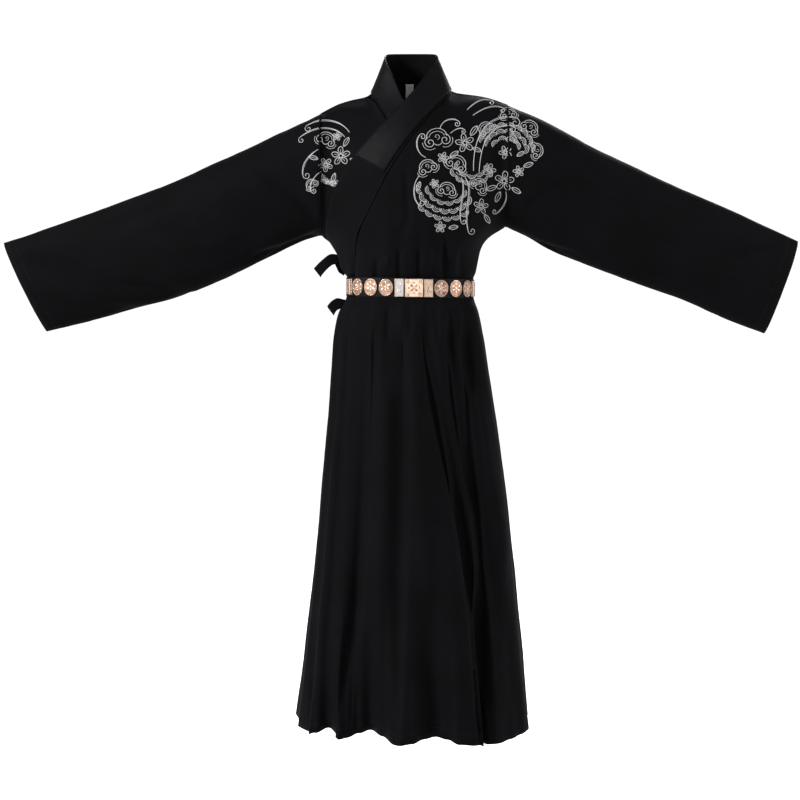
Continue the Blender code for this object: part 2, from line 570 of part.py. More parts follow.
def collar_point(key, share):
    """A point of the collar's base surface: key runs along it, share from the seam edge to the free edge."""
    row = collar_row(key)
    x = row.seam_x + (row.free_x - row.seam_x) * share
    z = row.seam_z + (row.free_z - row.seam_z) * share
    lying = row.sheet * body_depth(x, z, row.sheet)
    seam_y = row.sheet * body_depth(row.seam_x, row.seam_z, row.sheet)
    standing = seam_y + (row.free_y - seam_y) * share
    return Vector((x, lying + (standing - lying) * row.stand, z))


def collar_grid(keys, shares):
    """Points of the band's outer face, moved out by its lift."""
    grid = np.array([[collar_point(key, share) for key in keys] for share in shares])
    lifts = np.array([collar_row(key).lift for key in keys])
    return grid + face_normals(grid, False) * lifts[None, :, None]


def collar_keys(first, last):
    """Places of the band's columns from one of its sections to another."""
    return np.linspace(first, last, int(last - first) * COLLAR_STEPS + 1)


def collar_seam_z(x, first, last):
    """Height of the collar's seam edge at an x, between two of its sections."""
    rows = sorted((collar_row(key).seam_x, collar_row(key).seam_z) for key in collar_keys(first, last))
    return float(np.interp(x, [row[0] for row in rows], [row[1] for row in rows]))


def collar_seam_x(z):
    """x of the collar's seam edge at a height, on the part that runs down the outer front."""
    rows = [(collar_row(key).seam_z, collar_row(key).seam_x) for key in collar_keys(0, GUARD_START)]
    return float(np.interp(z, [row[0] for row in rows], [row[1] for row in rows]))


def add_bodice(collection):
    """Two fronts that cross and one back, each cut along the collar's seam."""
    def outer_top(x):
        return collar_seam_z(x - NECK_GAP, 0, NECK_LEFT) - NECK_GAP if x < NECK_HALF else ridge_z(x, FRONT)

    def inner_top(x):
        return inner_seam_z(x + NECK_GAP) - NECK_GAP if x > -NECK_HALF else ridge_z(x, FRONT)

    def back_top(x):
        return collar_seam_z(x, NECK_LEFT, NECK_RIGHT) - NECK_GAP if abs(x) < NECK_HALF else ridge_z(x, BACK)

    def layer(z):
        return WALL + BELT_LAYER + (LAYER - BELT_LAYER) * smooth((z - BELT_TOP_Z) / BELT_FADE)

    def outer_lift(x, z):
        return layer(z) * (1.0 - smooth(x / OVERLAP_RUN))

    def inner_lift(x, z):
        return -layer(z) * smooth(x / OVERLAP_RUN)

    def outer_edge(z):
        return collar_seam_x(z) + NECK_GAP

    places = (OUTER_CORNER_X,) + FIXED_COLUMNS[1:] + RIGHT_COLUMNS
    grid = bodice_grid(FRONT, places, outer_top, outer_lift, outer_edge)
    cloth_wall("front_outer", grid, "black_cloth", collection, outward=FRONT)
    places = LEFT_COLUMNS + FIXED_COLUMNS[:INNER_CORNER + 1]
    grid = bodice_grid(FRONT, places, inner_top, inner_lift, has_folds=False)
    cloth_wall("front_inner", grid, "black_cloth", collection, outward=FRONT)
    places = LEFT_COLUMNS + FIXED_COLUMNS + RIGHT_COLUMNS
    grid = bodice_grid(BACK, places, back_top, lambda x, z: 0.0)
    cloth_wall("back", grid, "black_cloth", collection, outward=BACK)


def inner_seam_z(x):
    """Height of the inner front's free top edge: the collar's seam, then on down to the far side."""
    if x < COLLAR[-1].seam_x:
        return collar_seam_z(x, NECK_RIGHT, len(COLLAR) - 1)
    return float(np.interp(x, column(INNER_EDGE, "x"), column(INNER_EDGE, "z")))


def add_sleeves(collection):
    """Two wide straight sleeves, each one tube open at the cuff."""
    cloth_wall("sleeve_left", sleeve_grid(SLEEVE_LEFT), "black_cloth", collection, ring=True, outward=-1)
    cloth_wall("sleeve_right", sleeve_grid(SLEEVE_RIGHT), "black_cloth", collection, ring=True)


def add_collar(collection):
    """The band round the neck and down both fronts, and the glossy guard on it with its square end."""
    band = collar_grid(collar_keys(0, len(COLLAR) - 1), COLLAR_SHARES)
    cloth_wall("collar_band", band, "black_cloth", collection)
    guard = band + face_normals(band, False) * (GUARD_GAP + GUARD_WALL)
    guard = guard[1:, GUARD_START * COLLAR_STEPS:GUARD_END * COLLAR_STEPS + 1]
    cloth_wall("collar_guard", guard, "black_satin", collection, thickness=GUARD_WALL)


# ---- skirt --------------------------------------------------------------------------------------------

def pleat_value(row, names, z):
    """A pleat's value at a height, from its values at waist, knee and hem."""
    keys = (SKIRT[0].z, KNEE_Z, HEM_Z)
    return float(along(keys, [getattr(row, name) for name in names], z))


def skirt_point(z, angle, rise):
    """A point of the skirt's oval at a height and a direction, moved outwards by rise."""
    turn = math.radians(angle)
    left, right = at(SKIRT, "left", z), at(SKIRT, "right", z)
    half, middle = (right - left) / 2, (right + left) / 2
    deep = at(SKIRT, "front" if math.cos(turn) > 0 else "back", z)
    out = Vector((math.sin(turn) / half, -math.cos(turn) / deep, 0.0)).normalized()
    return Vector((middle + half * math.sin(turn), -deep * math.cos(turn), z)) + out * rise


def fall(share, is_steep):
    """How much of a crest's height is left at a share of the way to the next crest."""
    reach = STEEP_SHARE if is_steep else GENTLE_SHARE
    return math.cos(math.pi / 2 * min(1.0, share / reach)) ** 2


def skirt_grid(pleats, heights, sink):
    """Outer points of a skirt panel, column by column from one pleat's crest to the next."""
    names, depths = ("waist", "knee", "hem"), ("depth_waist", "depth_knee", "depth_hem")
    lines = []
    for p, (first, second) in enumerate(zip(pleats, pleats[1:])):
        steps = PLEAT_STEPS if first.depth_waist + second.depth_waist else PLAIN_STEPS
        if p == len(pleats) - 2:
            steps += (1.0,)
        for step in steps:
            line = []
            for z in heights:
                gathered = smooth((SKIRT[1].z - z) / PLEAT_START)
                angle = (1 - step) * pleat_value(first, names, z) + step * pleat_value(second, names, z)
                rise = (pleat_value(first, depths, z) * fall(step, first.steep == RIGHT)
                        + pleat_value(second, depths, z) * fall(1 - step, second.steep == LEFT))
                line.append(skirt_point(z, angle, rise * gathered / 1000.0 - sink))
            lines.append(line)
    return np.array(lines).transpose(1, 0, 2)


def trimmed_sides(grid):
    """Pull a panel's first and last columns back by half a seam's gap, along the cloth."""
    for edge, inner in ((0, 1), (-1, -2)):
        run = grid[:, inner] - grid[:, edge]
        grid[:, edge] += run / np.linalg.norm(run, axis=1, keepdims=True) * SEAM
    return grid


def add_skirt(collection):
    """Pleated outer front with a free edge, the under lap beneath it, and the pleated back."""
    heights = column(SKIRT, "z")
    for name, pleats, sink in (("skirt_front", FRONT_PLEATS, 0.0), ("skirt_back", BACK_PLEATS, 0.0),
                               ("skirt_inner", INNER_PLEATS, INNER_DROP)):
        grid = trimmed_sides(skirt_grid(pleats, heights, sink))
        cloth_wall(name, grid, "black_cloth", collection, outward=-1)


# ---- belt ---------------------------------------------------------------------------------------------

def belt_place(angle, out=0.0):
    """A point of the belt's mid height at a direction, out from its inner face, in its own level frame."""
    return Vector(((BELT_HALF_X + out) * math.sin(angle), -(BELT_HALF_Y + out) * math.cos(angle), 0.0))


def belt_angle(arc):
    """Direction of the place on the band that lies an arc's length from the front."""
    angle, run, step = 0.0, 0.0, math.copysign(0.002, arc)
    while run < abs(arc):
        run += (belt_place(angle + step, BELT_WALL) - belt_place(angle, BELT_WALL)).length
        angle += step
    return angle


def belt_frame():
    """From the belt's own level frame to its place on the robe, with its slight tilt."""
    return Matrix.Translation(BELT_MID) @ Matrix.Rotation(BELT_TILT, 4, "Y")


def add_belt(collection):
    """The band as one ring, and the plaques riveted to its front and sides."""
    frame = belt_frame()
    rows = []
    for z in (BELT_HEIGHT / 2, -BELT_HEIGHT / 2):
        ring = []
        for c in range(BELT_COLUMNS):
            place = belt_place(2 * math.pi * c / BELT_COLUMNS, BELT_WALL)
            place.z = z
            ring.append(frame @ place)
        rows.append(ring)
    cloth_wall("belt_band", np.array(rows), "belt_strap", collection, BELT_WALL, ring=True, outward=-1)

    add_plaque(MIDDLE_PLAQUE.name, MIDDLE_PLAQUE, MIDDLE_SHIFT, collection)
    for side, label in ((LEFT, "left"), (RIGHT, "right")):
        reach = MIDDLE_PLAQUE.width / 2
        for row in SIDE_PLAQUES:
            reach += row.gap + row.width / 2
            add_plaque(f"{row.name}_{label}", row, MIDDLE_SHIFT + side * reach, collection)
            reach += row.width / 2


def add_plaque(name, row, arc, collection):
    """A thin plate with a softened rim, seated on the band at an arc's length from its front."""
    angle = belt_angle(arc)
    out = Vector((math.sin(angle) * BELT_HALF_Y, -math.cos(angle) * BELT_HALF_X, 0.0)).normalized()
    seat = belt_place(angle, BELT_WALL) + out * SEAM
    up = Vector((0.0, 0.0, 1.0))
    turned = Matrix((up.cross(out), up, out)).transposed().to_4x4()
    bm = bmesh.new()
    if row.shape == "oval":
        bmesh.ops.create_cone(bm, cap_ends=True, segments=24, radius1=0.5, radius2=0.5, depth=1.0)
    else:
        bmesh.ops.create_cube(bm, size=1.0)
    bmesh.ops.translate(bm, verts=bm.verts, vec=(0.0, 0.0, 0.5))
    bmesh.ops.scale(bm, verts=bm.verts, vec=(row.width, row.height, PLAQUE_WALL))
    rim = [e for e in bm.edges if all(v.co.z > PLAQUE_WALL / 2 for v in e.verts)]
    bmesh.ops.bevel(bm, geom=rim, offset=PLAQUE_RIM, segments=1, profile=0.5, affect="EDGES", material=-1)
    bmesh.ops.transform(bm, verts=bm.verts, matrix=belt_frame() @ Matrix.Translation(seat) @ turned)
    bmesh.ops.triangulate(bm, faces=bm.faces)
    finished(name, bm, "rose_gold", collection)


# ---- ties and label -----------------------------------------------------------------------------------

def add_ribbon(name, path, broad, width, thickness, finish, collection):
    """A flat ribbon along a path. broad is the direction of its width at the start and at the end."""
    rows = []
    steps = 8
    for i in range(steps + 1):
        key = i / steps * (len(path) - 1)
        keys = list(range(len(path)))
        place = Vector([float(along(keys, [p[k] for p in path], key)) for k in range(3)])
        side = Vector(broad[0]).lerp(Vector(broad[1]), i / steps).normalized() * width / 2
        rows.append([place - side, place, place + side])
    cloth_wall(name, np.array(rows), finish, collection, thickness)


def add_ties(collection):
    """The ties that hold the overlap at the wearer's right side, above and below the belt."""
    for row in TIES:
        add_ribbon(row.name, row.path, row.broad, TIE_WIDTH, TIE_WALL, "black_cloth", collection)


def add_label(collection):
    """A small blank label that hangs inside the back of the neck."""
    top = -LABEL_TOP_BELOW_SEAM + collar_seam_z(LABEL_X, NECK_LEFT, NECK_RIGHT)
    rows = []
    for r in range(5):
        z = top - LABEL_HEIGHT * r / 4
        row = [LABEL_X + LABEL_WIDTH * share for share in (-0.5, 0.0, 0.5)]
        rows.append([(x, body_depth(x, z, BACK), z) for x in row])
    grid = np.array(rows)
    grid -= face_normals(grid, False) * (WALL + LABEL_GAP)
    cloth_wall("neck_label", grid, "white_label", collection, LABEL_WALL, outward=FRONT)


def main():
    for old in list(bpy.data.objects):
        bpy.data.objects.remove(old, do_unlink=True)
    robe = bpy.data.collections.new("hanfu_robe")
    bpy.context.scene.collection.children.link(robe)
    add_bodice(robe)
    add_sleeves(robe)
    add_collar(robe)
    add_skirt(robe)
    add_belt(robe)
    add_ties(robe)
    add_label(robe)


main()
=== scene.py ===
import math
import bmesh
import bpy
from mathutils import Matrix, Vector, noise
from mathutils.bvhtree import BVHTree
from mathutils.kdtree import KDTree
from mathutils.geometry import interpolate_bezier


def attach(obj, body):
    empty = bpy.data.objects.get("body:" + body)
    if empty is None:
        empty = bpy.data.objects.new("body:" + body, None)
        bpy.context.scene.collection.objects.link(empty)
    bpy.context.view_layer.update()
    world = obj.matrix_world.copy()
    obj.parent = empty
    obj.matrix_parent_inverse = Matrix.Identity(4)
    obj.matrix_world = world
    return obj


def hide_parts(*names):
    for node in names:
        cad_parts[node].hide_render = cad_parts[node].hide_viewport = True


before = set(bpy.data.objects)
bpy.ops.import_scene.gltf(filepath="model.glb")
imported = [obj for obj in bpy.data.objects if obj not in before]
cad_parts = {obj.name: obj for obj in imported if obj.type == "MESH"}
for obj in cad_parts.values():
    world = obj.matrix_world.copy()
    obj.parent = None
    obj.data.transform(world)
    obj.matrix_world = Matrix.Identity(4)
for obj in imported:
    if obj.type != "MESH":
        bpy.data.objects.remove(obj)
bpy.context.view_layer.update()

# ---- Camera ------------------------------------------------------------------
# It stands four metres in front of the robe, level with the belt, and looks slightly down. Its lens is a
# long one, so that the robe is seen nearly square on.
CAMERA_PLACE = Vector((-0.02376, -4.0, -0.40))
CAMERA_AIM = Vector((-0.02376, 0.0, -0.6588))
LENS, SENSOR = 83.5, 36.0
camera = bpy.data.objects.new("camera", bpy.data.cameras.new("camera"))
camera.data.lens = LENS
camera.data.sensor_width = SENSOR
camera.location = CAMERA_PLACE
camera.rotation_euler = (CAMERA_AIM - CAMERA_PLACE).to_track_quat("-Z", "Y").to_euler()
bpy.context.scene.collection.objects.link(camera)
bpy.context.scene.camera = camera

# ---- Studio ------------------------------------------------------------------
# A wide white floor in an evenly white room, and soft lights. The robe hangs clear of the floor, because it
# is held at the shoulders.
FLOOR_Z, FLOOR_HALF = -1.62, 60.0
LIGHTS = (  # name, place, aim, size across in metres, and power in watts
    ("key_light", (-3.5, -2.2, 1.6), (0.0, 0.0, -0.6), 1.2, 230.0),
    ("front_light", (0.8, -5.4, 0.6), (0.0, 0.0, -0.6), 2.6, 50.0),
    ("side_light", (3.4, -0.6, 0.6), (0.0, 0.0, -0.7), 1.6, 55.0),
    ("back_light", (0.8, 3.6, 2.0), (0.0, 0.0, -0.6), 2.0, 150.0))


def node(tree, kind, **inputs):
    """A shader node with some of its sockets set."""
    placed = tree.nodes.new(kind)
    for name, value in inputs.items():
        placed.inputs[name.replace("_", " ")].default_value = value
    return placed


def finish(name, roughness, specular, metallic=0.0):
    """A new material, its node tree and its shader."""
    material = bpy.data.materials.new(name)
    material.use_nodes = True
    shader = material.node_tree.nodes["Principled BSDF"]
    shader.inputs["Roughness"].default_value = roughness
    shader.inputs["Specular IOR Level"].default_value = specular
    shader.inputs["Metallic"].default_value = metallic
    return material, material.node_tree, shader


def made(name, bm, material):
    """A named object from a bmesh, shaded smooth."""
    mesh = bpy.data.meshes.new(name)
    bm.to_mesh(mesh)
    bm.free()
    mesh.materials.append(material)
    for polygon in mesh.polygons:
        polygon.use_smooth = True
    piece = bpy.data.objects.new(name, mesh)
    bpy.context.scene.collection.objects.link(piece)
    return piece


def seen_white(tree, socket, seen, cast):
    """Brightness that is one value where it is seen and a lower one where it lights the robe."""
    rays = tree.nodes.new("ShaderNodeLightPath")
    level = node(tree, "ShaderNodeMapRange", To_Min=cast, To_Max=seen)
    tree.links.new(rays.outputs["Is Camera Ray"], level.inputs["Value"])
    tree.links.new(level.outputs["Result"], socket)


paper, paper_tree, paper_shader = finish("white_paper", 0.9, 0.2)
paper_shader.inputs["Base Color"].default_value = (0.80, 0.80, 0.80, 1.0)
paper_shader.inputs["Emission Color"].default_value = (1.0, 1.0, 1.0, 1.0)
seen_white(paper_tree, paper_shader.inputs["Emission Strength"], seen=1.0, cast=0.02)
floor = bmesh.new()
bmesh.ops.create_grid(floor, x_segments=1, y_segments=1, size=FLOOR_HALF,
                      matrix=Matrix.Translation((0.0, 0.0, FLOOR_Z)))
made("paper_floor", floor, paper)
for name, place, aim, size, power in LIGHTS:
    lamp = bpy.data.lights.new(name, "AREA")
    lamp.shape = "DISK"
    lamp.size = size
    lamp.energy = power
    holder = bpy.data.objects.new(name, lamp)
    holder.location = place
    holder.rotation_euler = (Vector(aim) - Vector(place)).to_track_quat("-Z", "Y").to_euler()
    bpy.context.scene.collection.objects.link(holder)
world = bpy.data.worlds.new("studio")
world.use_nodes = True
background = world.node_tree.nodes["Background"]
background.inputs["Color"].default_value = (1.0, 1.0, 1.0, 1.0)
seen_white(world.node_tree, background.inputs["Strength"], seen=1.05, cast=0.13)
bpy.context.scene.world = world
bpy.context.scene.view_settings.view_transform = "Standard"

# ---- Bodice: the back and the two crossing fronts ----------------------------
# Panels of black polyester crepe, cut and sewn over a lining of the same cloth. The outer front crosses over
# to the wearer's right, and all three are gathered in under the belt, so short folds stand above it.
CLOTH_THICKNESS = 0.0013
TWILL, TWILL_SLANT = 0.00085, math.radians(62)
BAND = 0.314  # the bands of a wave texture of scale one are this far apart, in metres
WELD = 2e-5  # corners nearer than this are one corner
RIM_ANGLE = math.radians(60)  # a wall's face meets its rim at more than this
BODICE_LEVELS = 2
SWELLS, RIPPLES = 9.0, 40.0  # broad and small unevenness of hanging cloth, in waves a metre
FADE, LONGEST_FADE, LEFT_OPEN = 0.35, 0.08, 0.4  # how a crease fades at its ends
SIDE = 0.008  # an edge this near the middle plane, from front to back, is at a side seam
GIRTH_REACH = 0.14  # the body's mean distance from its middle line


def textured(tree, kind, space, slant=0.0, **inputs):
    """A texture laid out over the piece or over its UV map, and turned where it runs aslant."""
    texture = node(tree, kind, **inputs)
    laid = tree.nodes.new("ShaderNodeTexCoord").outputs[space]
    if slant:
        turned = node(tree, "ShaderNodeMapping", Rotation=(0.0, 0.0, slant))
        tree.links.new(laid, turned.inputs["Vector"])
        laid = turned.outputs["Vector"]
    tree.links.new(laid, texture.inputs["Vector"])
    return texture


def toned(tree, shader, mix, dark, light, first=0.0, last=1.0):
    """The colour runs from a dark tone to a light one while the mix goes from first to last."""
    ramp = tree.nodes.new("ShaderNodeValToRGB")
    for stop, place, tone in zip(ramp.color_ramp.elements, (first, last), (dark, light)):
        stop.position = place
        stop.color = (*tone, 1.0)
    tree.links.new(mix, ramp.inputs["Fac"])
    tree.links.new(ramp.outputs["Color"], shader.inputs["Base Color"])


def raised(tree, shader, height, strength, distance, over=None):
    """Fine relief of a surface, by itself or over the normal of a finer one."""
    bump = node(tree, "ShaderNodeBump", Strength=strength, Distance=distance)
    tree.links.new(height, bump.inputs["Height"])
    if over is not None:
        tree.links.new(over, bump.inputs["Normal"])
    tree.links.new(bump.outputs["Normal"], shader.inputs["Normal"])
    return bump.outputs["Normal"]


def black_crepe(name, dark, light, nap):
    """Dull black crepe: an uneven black, a fine twill, a pebbled face and a soft nap."""
    material, tree, shader = finish(name, 0.75, 0.05)
    shader.inputs["Sheen Weight"].default_value = nap
    shader.inputs["Sheen Roughness"].default_value = 0.5
    shader.inputs["Sheen Tint"].default_value = (0.80, 0.78, 1.0, 1.0)
    blotch = textured(tree, "ShaderNodeTexNoise", "Object", Scale=9.0, Detail=5.0)
    toned(tree, shader, blotch.outputs["Fac"], dark, light, 0.35, 0.68)
    twill = textured(tree, "ShaderNodeTexWave", "UV", TWILL_SLANT, Scale=BAND / TWILL, Distortion=1.5)
    pebble = textured(tree, "ShaderNodeTexNoise", "Object", Scale=700.0, Detail=2.0)
    both = tree.nodes.new("ShaderNodeMath")
    tree.links.new(twill.outputs["Fac"], both.inputs[0])
    tree.links.new(pebble.outputs["Fac"], both.inputs[1])
    raised(tree, shader, both.outputs["Value"], 0.4, 0.00025)
    return material


def outer_face(node_name):
    """The outer face of a cloth wall, as one sheet of quads: its rim and its inner face are taken off."""
    bm = bmesh.new()
    bm.from_mesh(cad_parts[node_name].data)
    bmesh.ops.remove_doubles(bm, verts=bm.verts, dist=WELD)
    bm.normal_update()
    sheets, left = [], set(bm.faces)
    while left:
        sheet, front = [], [left.pop()]
        while front:
            face = front.pop()
            sheet.append(face)
            for edge in face.edges:
                if edge.calc_face_angle(0.0) < RIM_ANGLE:
                    for other in left.intersection(edge.link_faces):
                        left.remove(other)
                        front.append(other)
        sheets.append(sheet)
    sheets.sort(key=lambda sheet: sum(face.calc_area() for face in sheet))
    outer = max(sheets[-2:], key=lambda sheet: sum(
        face.calc_area() * face.normal.y * face.calc_center_median().y for face in sheet))
    spare = [face for sheet in sheets if sheet is not outer for face in sheet]
    bmesh.ops.delete(bm, geom=spare, context="FACES")
    bmesh.ops.join_triangles(bm, faces=bm.faces, angle_face_threshold=1.2, angle_shape_threshold=math.pi)
    return bm


def finer(piece, levels):
    """Subdivide a piece smoothly, its corners kept."""
    soft = piece.modifiers.new("finer", "SUBSURF")
    soft.levels = soft.render_levels = levels
    soft.boundary_smooth = "PRESERVE_CORNERS"
    view = bpy.context.evaluated_depsgraph_get()
    mesh = bpy.data.meshes.new_from_object(piece.evaluated_get(view))
    piece.modifiers.clear()
    piece.data = mesh


def clamped(share):
    """A share kept between nothing and one."""
    return min(1.0, max(0.0, share))


def moved(piece, places):
    """Put each corner of a piece in its new place."""
    piece.data.vertices.foreach_set("co", [step for place in places for step in place])
    piece.data.update()


def pressed(piece, creases, out, slack):
    """Press creases into a sheet, and move it out a little. Each crease is a line of x, z points on the
    front or on the back, with a width and a depth, and it stands out of the sheet where its depth is
    negative. It fades over a share of its length at both ends, and over a few centimetres at most at its
    top; a sunk one is left a little open at its foot. Slack is the unevenness of hanging cloth."""
    places = []
    for v in piece.data.vertices:
        lift = out + slack * noise.noise(v.co * SWELLS) + 0.3 * slack * noise.noise(v.co * RIPPLES)
        spot = Vector((v.co.x, v.co.z))
        for front, line, width, depth in creases:
            if (v.normal.y < 0.1) != front:
                continue
            best, place, gone = 3.0 * width, None, 0.0
            for a, b in zip(line, line[1:]):
                run = b - a
                share = clamped((spot - a).dot(run) / run.length_squared)
                aside = (spot - a - run * share).length
                if aside < best:
                    best, place = aside, gone + share * run.length
                gone += run.length
            if place is not None:
                top = place / min(FADE * gone, LONGEST_FADE)
                foot = (gone - place) / (FADE * gone) + (LEFT_OPEN if depth > 0 else 0.0)
                ends = min(1.0, top, foot)
                lift -= depth * ends * ends * (3 - 2 * ends) * math.exp(-(best / width) ** 2)
        places.append(v.co + v.normal * lift)
    moved(piece, places)


def woven(piece, laid_out):
    """A UV map in metres of cloth, so that the weave follows the piece."""
    layer = piece.data.uv_layers.new(name="weave")
    for corner in piece.data.loops:
        layer.data[corner.index].uv = laid_out(piece.data.vertices[corner.vertex_index].co)


def round_body(point):
    """How far round the body a point is, and how high, in metres of cloth."""
    return math.atan2(point.x, -point.y) * GIRTH_REACH, point.z


def cloth(node_name, material, levels, creases, laid_out, out=0.0, slack=0.0005,
          thickness=CLOTH_THICKNESS):
    """A fine sheet of cloth on the outer face of its plain wall."""
    piece = made(f"cloth_{node_name}", outer_face(node_name), material)
    finer(piece, levels)
    pressed(piece, creases, out, slack)
    woven(piece, laid_out)
    wall = piece.modifiers.new("wall", "SOLIDIFY")
    wall.thickness = thickness
    wall.offset = -1.0
    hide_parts(node_name)
    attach(piece, "root")
    return piece


def search_of(places):
    """A search tree of places."""
    tree = KDTree(len(places))
    for i, place in enumerate(places):
        tree.insert(place, i)
    tree.balance()
    return tree


def drawn_to(piece, other, reach=0.014, run=0.035):
    """Close a side seam: the piece's edge is drawn to the other's, and the cloth beside it follows."""
    edges = []
    for sheet in (piece, other):
        bm = bmesh.new()
        bm.from_mesh(sheet.data)
        edges.append([v.co.copy() for v in bm.verts if v.is_boundary and abs(v.co.y) < SIDE])
        bm.free()
    tree = search_of(edges[1])
    moves = [(place, tree.find(place)) for place in edges[0]]
    moves = [(place, hit[0] - place) for place, hit in moves if hit[2] < reach]
    seam = search_of([place for place, _ in moves])
    for v in piece.data.vertices:
        near = seam.find(v.co)
        if near[2] < run:
            v.co += moves[near[1]][1] * (1 - near[2] / run) ** 2


def creased(front, *rows, wider=1.0, deeper=1.0):
    """Creases on the front or the back. A row gives the width, the depth and the points in millimetres."""
    creases = []
    for width, depth, *points in rows:
        line = [Vector((x / 1000, z / 1000)) for x, z in points]
        creases.append((front, line, wider * width / 1000, deeper * depth / 1000))
    return creases


crepe = black_crepe("black_crepe", (0.0025, 0.0024, 0.0029), (0.0036, 0.0034, 0.0043), 0.016)
FRONT_CREASES = creased(
    True, (6, 5, (71, -300), (69, -398)), (6, 4, (16, -325), (14, -398)), (6, 3.5, (-25, -328), (-26, -398)),
    (6, 3, (-118, -335), (-123, -398)), (7, 3, (104, -335), (106, -398)), (6, 3, (-72, -350), (-74, -398)),
    (6, -2.5, (50, -330), (48, -376)), (6, -2.5, (92, -320), (90, -376)), (6, -2, (-50, -345), (-51, -376)),
    (9, 2.5, (-13, -147), (-7, -269), (-17, -300)), (12, 2, (100, -230), (60, -290), (52, -340)),
    (14, -2, (150, -210), (120, -270), (106, -330)), deeper=1.4)
BACK_CREASES = creased(
    False, (7, 4, (70, -300), (64, -398)), (6, 3.5, (14, -320), (16, -398)),
    (6, 3.5, (-33, -315), (-31, -398)), (7, 4, (-82, -305), (-78, -398)), (6, 3, (110, -340), (102, -398)),
    (6, 3, (-116, -340), (-110, -398)), (6, -2.5, (40, -330), (41, -376)),
    (7, -2.5, (-56, -325), (-55, -376)), (14, 2.5, (-140, -190), (-100, -250), (-86, -300)),
    (14, 2.5, (146, -185), (104, -250), (80, -300)))
back = cloth("back", crepe, BODICE_LEVELS, BACK_CREASES, round_body,
             slack=0.001)
front_inner = cloth("front_inner", crepe, BODICE_LEVELS, FRONT_CREASES, round_body)
front_outer = cloth("front_outer", crepe, BODICE_LEVELS + 1, FRONT_CREASES, round_body,
                    out=0.0006)

# ---- Sleeves -----------------------------------------------------------------
# Two wide tubes of the same crepe, sewn in at the armholes and held out from the shoulders. Long slack folds
# run along them, and each cuff has a turned hem caught by one row of stitches.
SLEEVE_LEVELS = 2
ARM_SLOPE, ARM_TOP = 0.38, -0.10  # the arm's fall a metre, and its height at the middle of the neck
ARM_RUN, ARM_REACH = 1.08, 0.09  # its run along the cloth a metre, and its mean radius
SAG, SAG_STARTS, SAG_FULL, SAG_FADES, SAG_ENDS = 0.005, 0.20, 0.24, 0.32, 0.62
CORNER = 0.6  # an edge that turns more than this cosine allows has a corner there
CUFF_INSET = 0.022
STITCH = (0.0024, 0.0012, 0.00022)  # its length, the gap after it, and its radius
STITCH_RISE = 0.4  # how far its middle stands off the cloth, as a share of its radius


def round_arm(point):
    """How far out along the arm a point is, and how far round it, in metres of cloth."""
    out = abs(point.x)
    return out * ARM_RUN, math.atan2(point.z - ARM_TOP + ARM_SLOPE * out, -point.y) * ARM_REACH


def edges_of(piece):
    """The sheet's open edges as runs between its corners: points, and the way into the cloth at each."""
    bm = bmesh.new()
    bm.from_mesh(piece.data)
    bm.edges.index_update()
    runs, left = [], {edge for edge in bm.edges if edge.is_boundary}
    while left:
        start = min(left, key=lambda edge: edge.index)
        left.remove(start)
        chain = [start.verts[0], start.verts[1]]
        for _ in range(2):
            while True:
                onward = [edge for edge in chain[-1].link_edges if edge in left]
                if not onward:
                    break
                step = onward[0].other_vert(chain[-1])
                ahead = (step.co - chain[-1].co).normalized()
                if ahead.dot((chain[-1].co - chain[-2].co).normalized()) < CORNER:
                    break
                left.remove(onward[0])
                chain.append(step)
            chain.reverse()
        inward = []
        for i, v in enumerate(chain):
            run = (chain[min(i + 1, len(chain) - 1)].co - chain[max(i - 1, 0)].co).normalized()
            middle = sum((f.calc_center_median() for f in v.link_faces), Vector()) / len(v.link_faces)
            side = middle - v.co
            inward.append((side - run * side.dot(run)).normalized())
        runs.append([(v.co.copy(), way) for v, way in zip(chain, inward)])
    bm.free()
    return sorted(runs, key=lambda run: -sum((b[0] - a[0]).length for a, b in zip(run, run[1:])))


def edge_of(piece, measure, few=3):
    """The one of a sheet's few longest edges that measures most on the whole."""
    return max(edges_of(piece)[:few], key=lambda run: sum(measure(point) for point, _ in run) / len(run))


def tree_of(piece):
    """A search tree of a piece's faces."""
    mesh = piece.data
    return BVHTree.FromPolygons([v.co for v in mesh.vertices], [face.vertices for face in mesh.polygons])


def stitched(name, piece, runs, inset):
    """Rows of small stitches that follow runs of a sheet's edge, a little way in."""
    length, gap, thick = STITCH
    size = Matrix.Diagonal((length / 2, thick, thick, 1.0))
    tree = tree_of(piece)
    bm = bmesh.new()
    for run in runs:
        path = [tree.find_nearest(point + way * inset)[:2] for point, way in run]
        due = length
        for (a, normal), (b, _) in zip(path, path[1:]):
            step = (b - a).length
            while step > 1e-6 and due <= step:
                along = (b - a).normalized()
                across = along.cross(normal).normalized()
                turn = Matrix((along, across, along.cross(across))).transposed().to_4x4()
                place = Matrix.Translation(a + along * due + normal * thick * STITCH_RISE)
                bmesh.ops.create_uvsphere(bm, u_segments=6, v_segments=4, radius=1.0,
                                          matrix=place @ turn @ size)
                due += length + gap
            due -= step
    rows = made(name, bm, black_thread)
    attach(rows, "root")


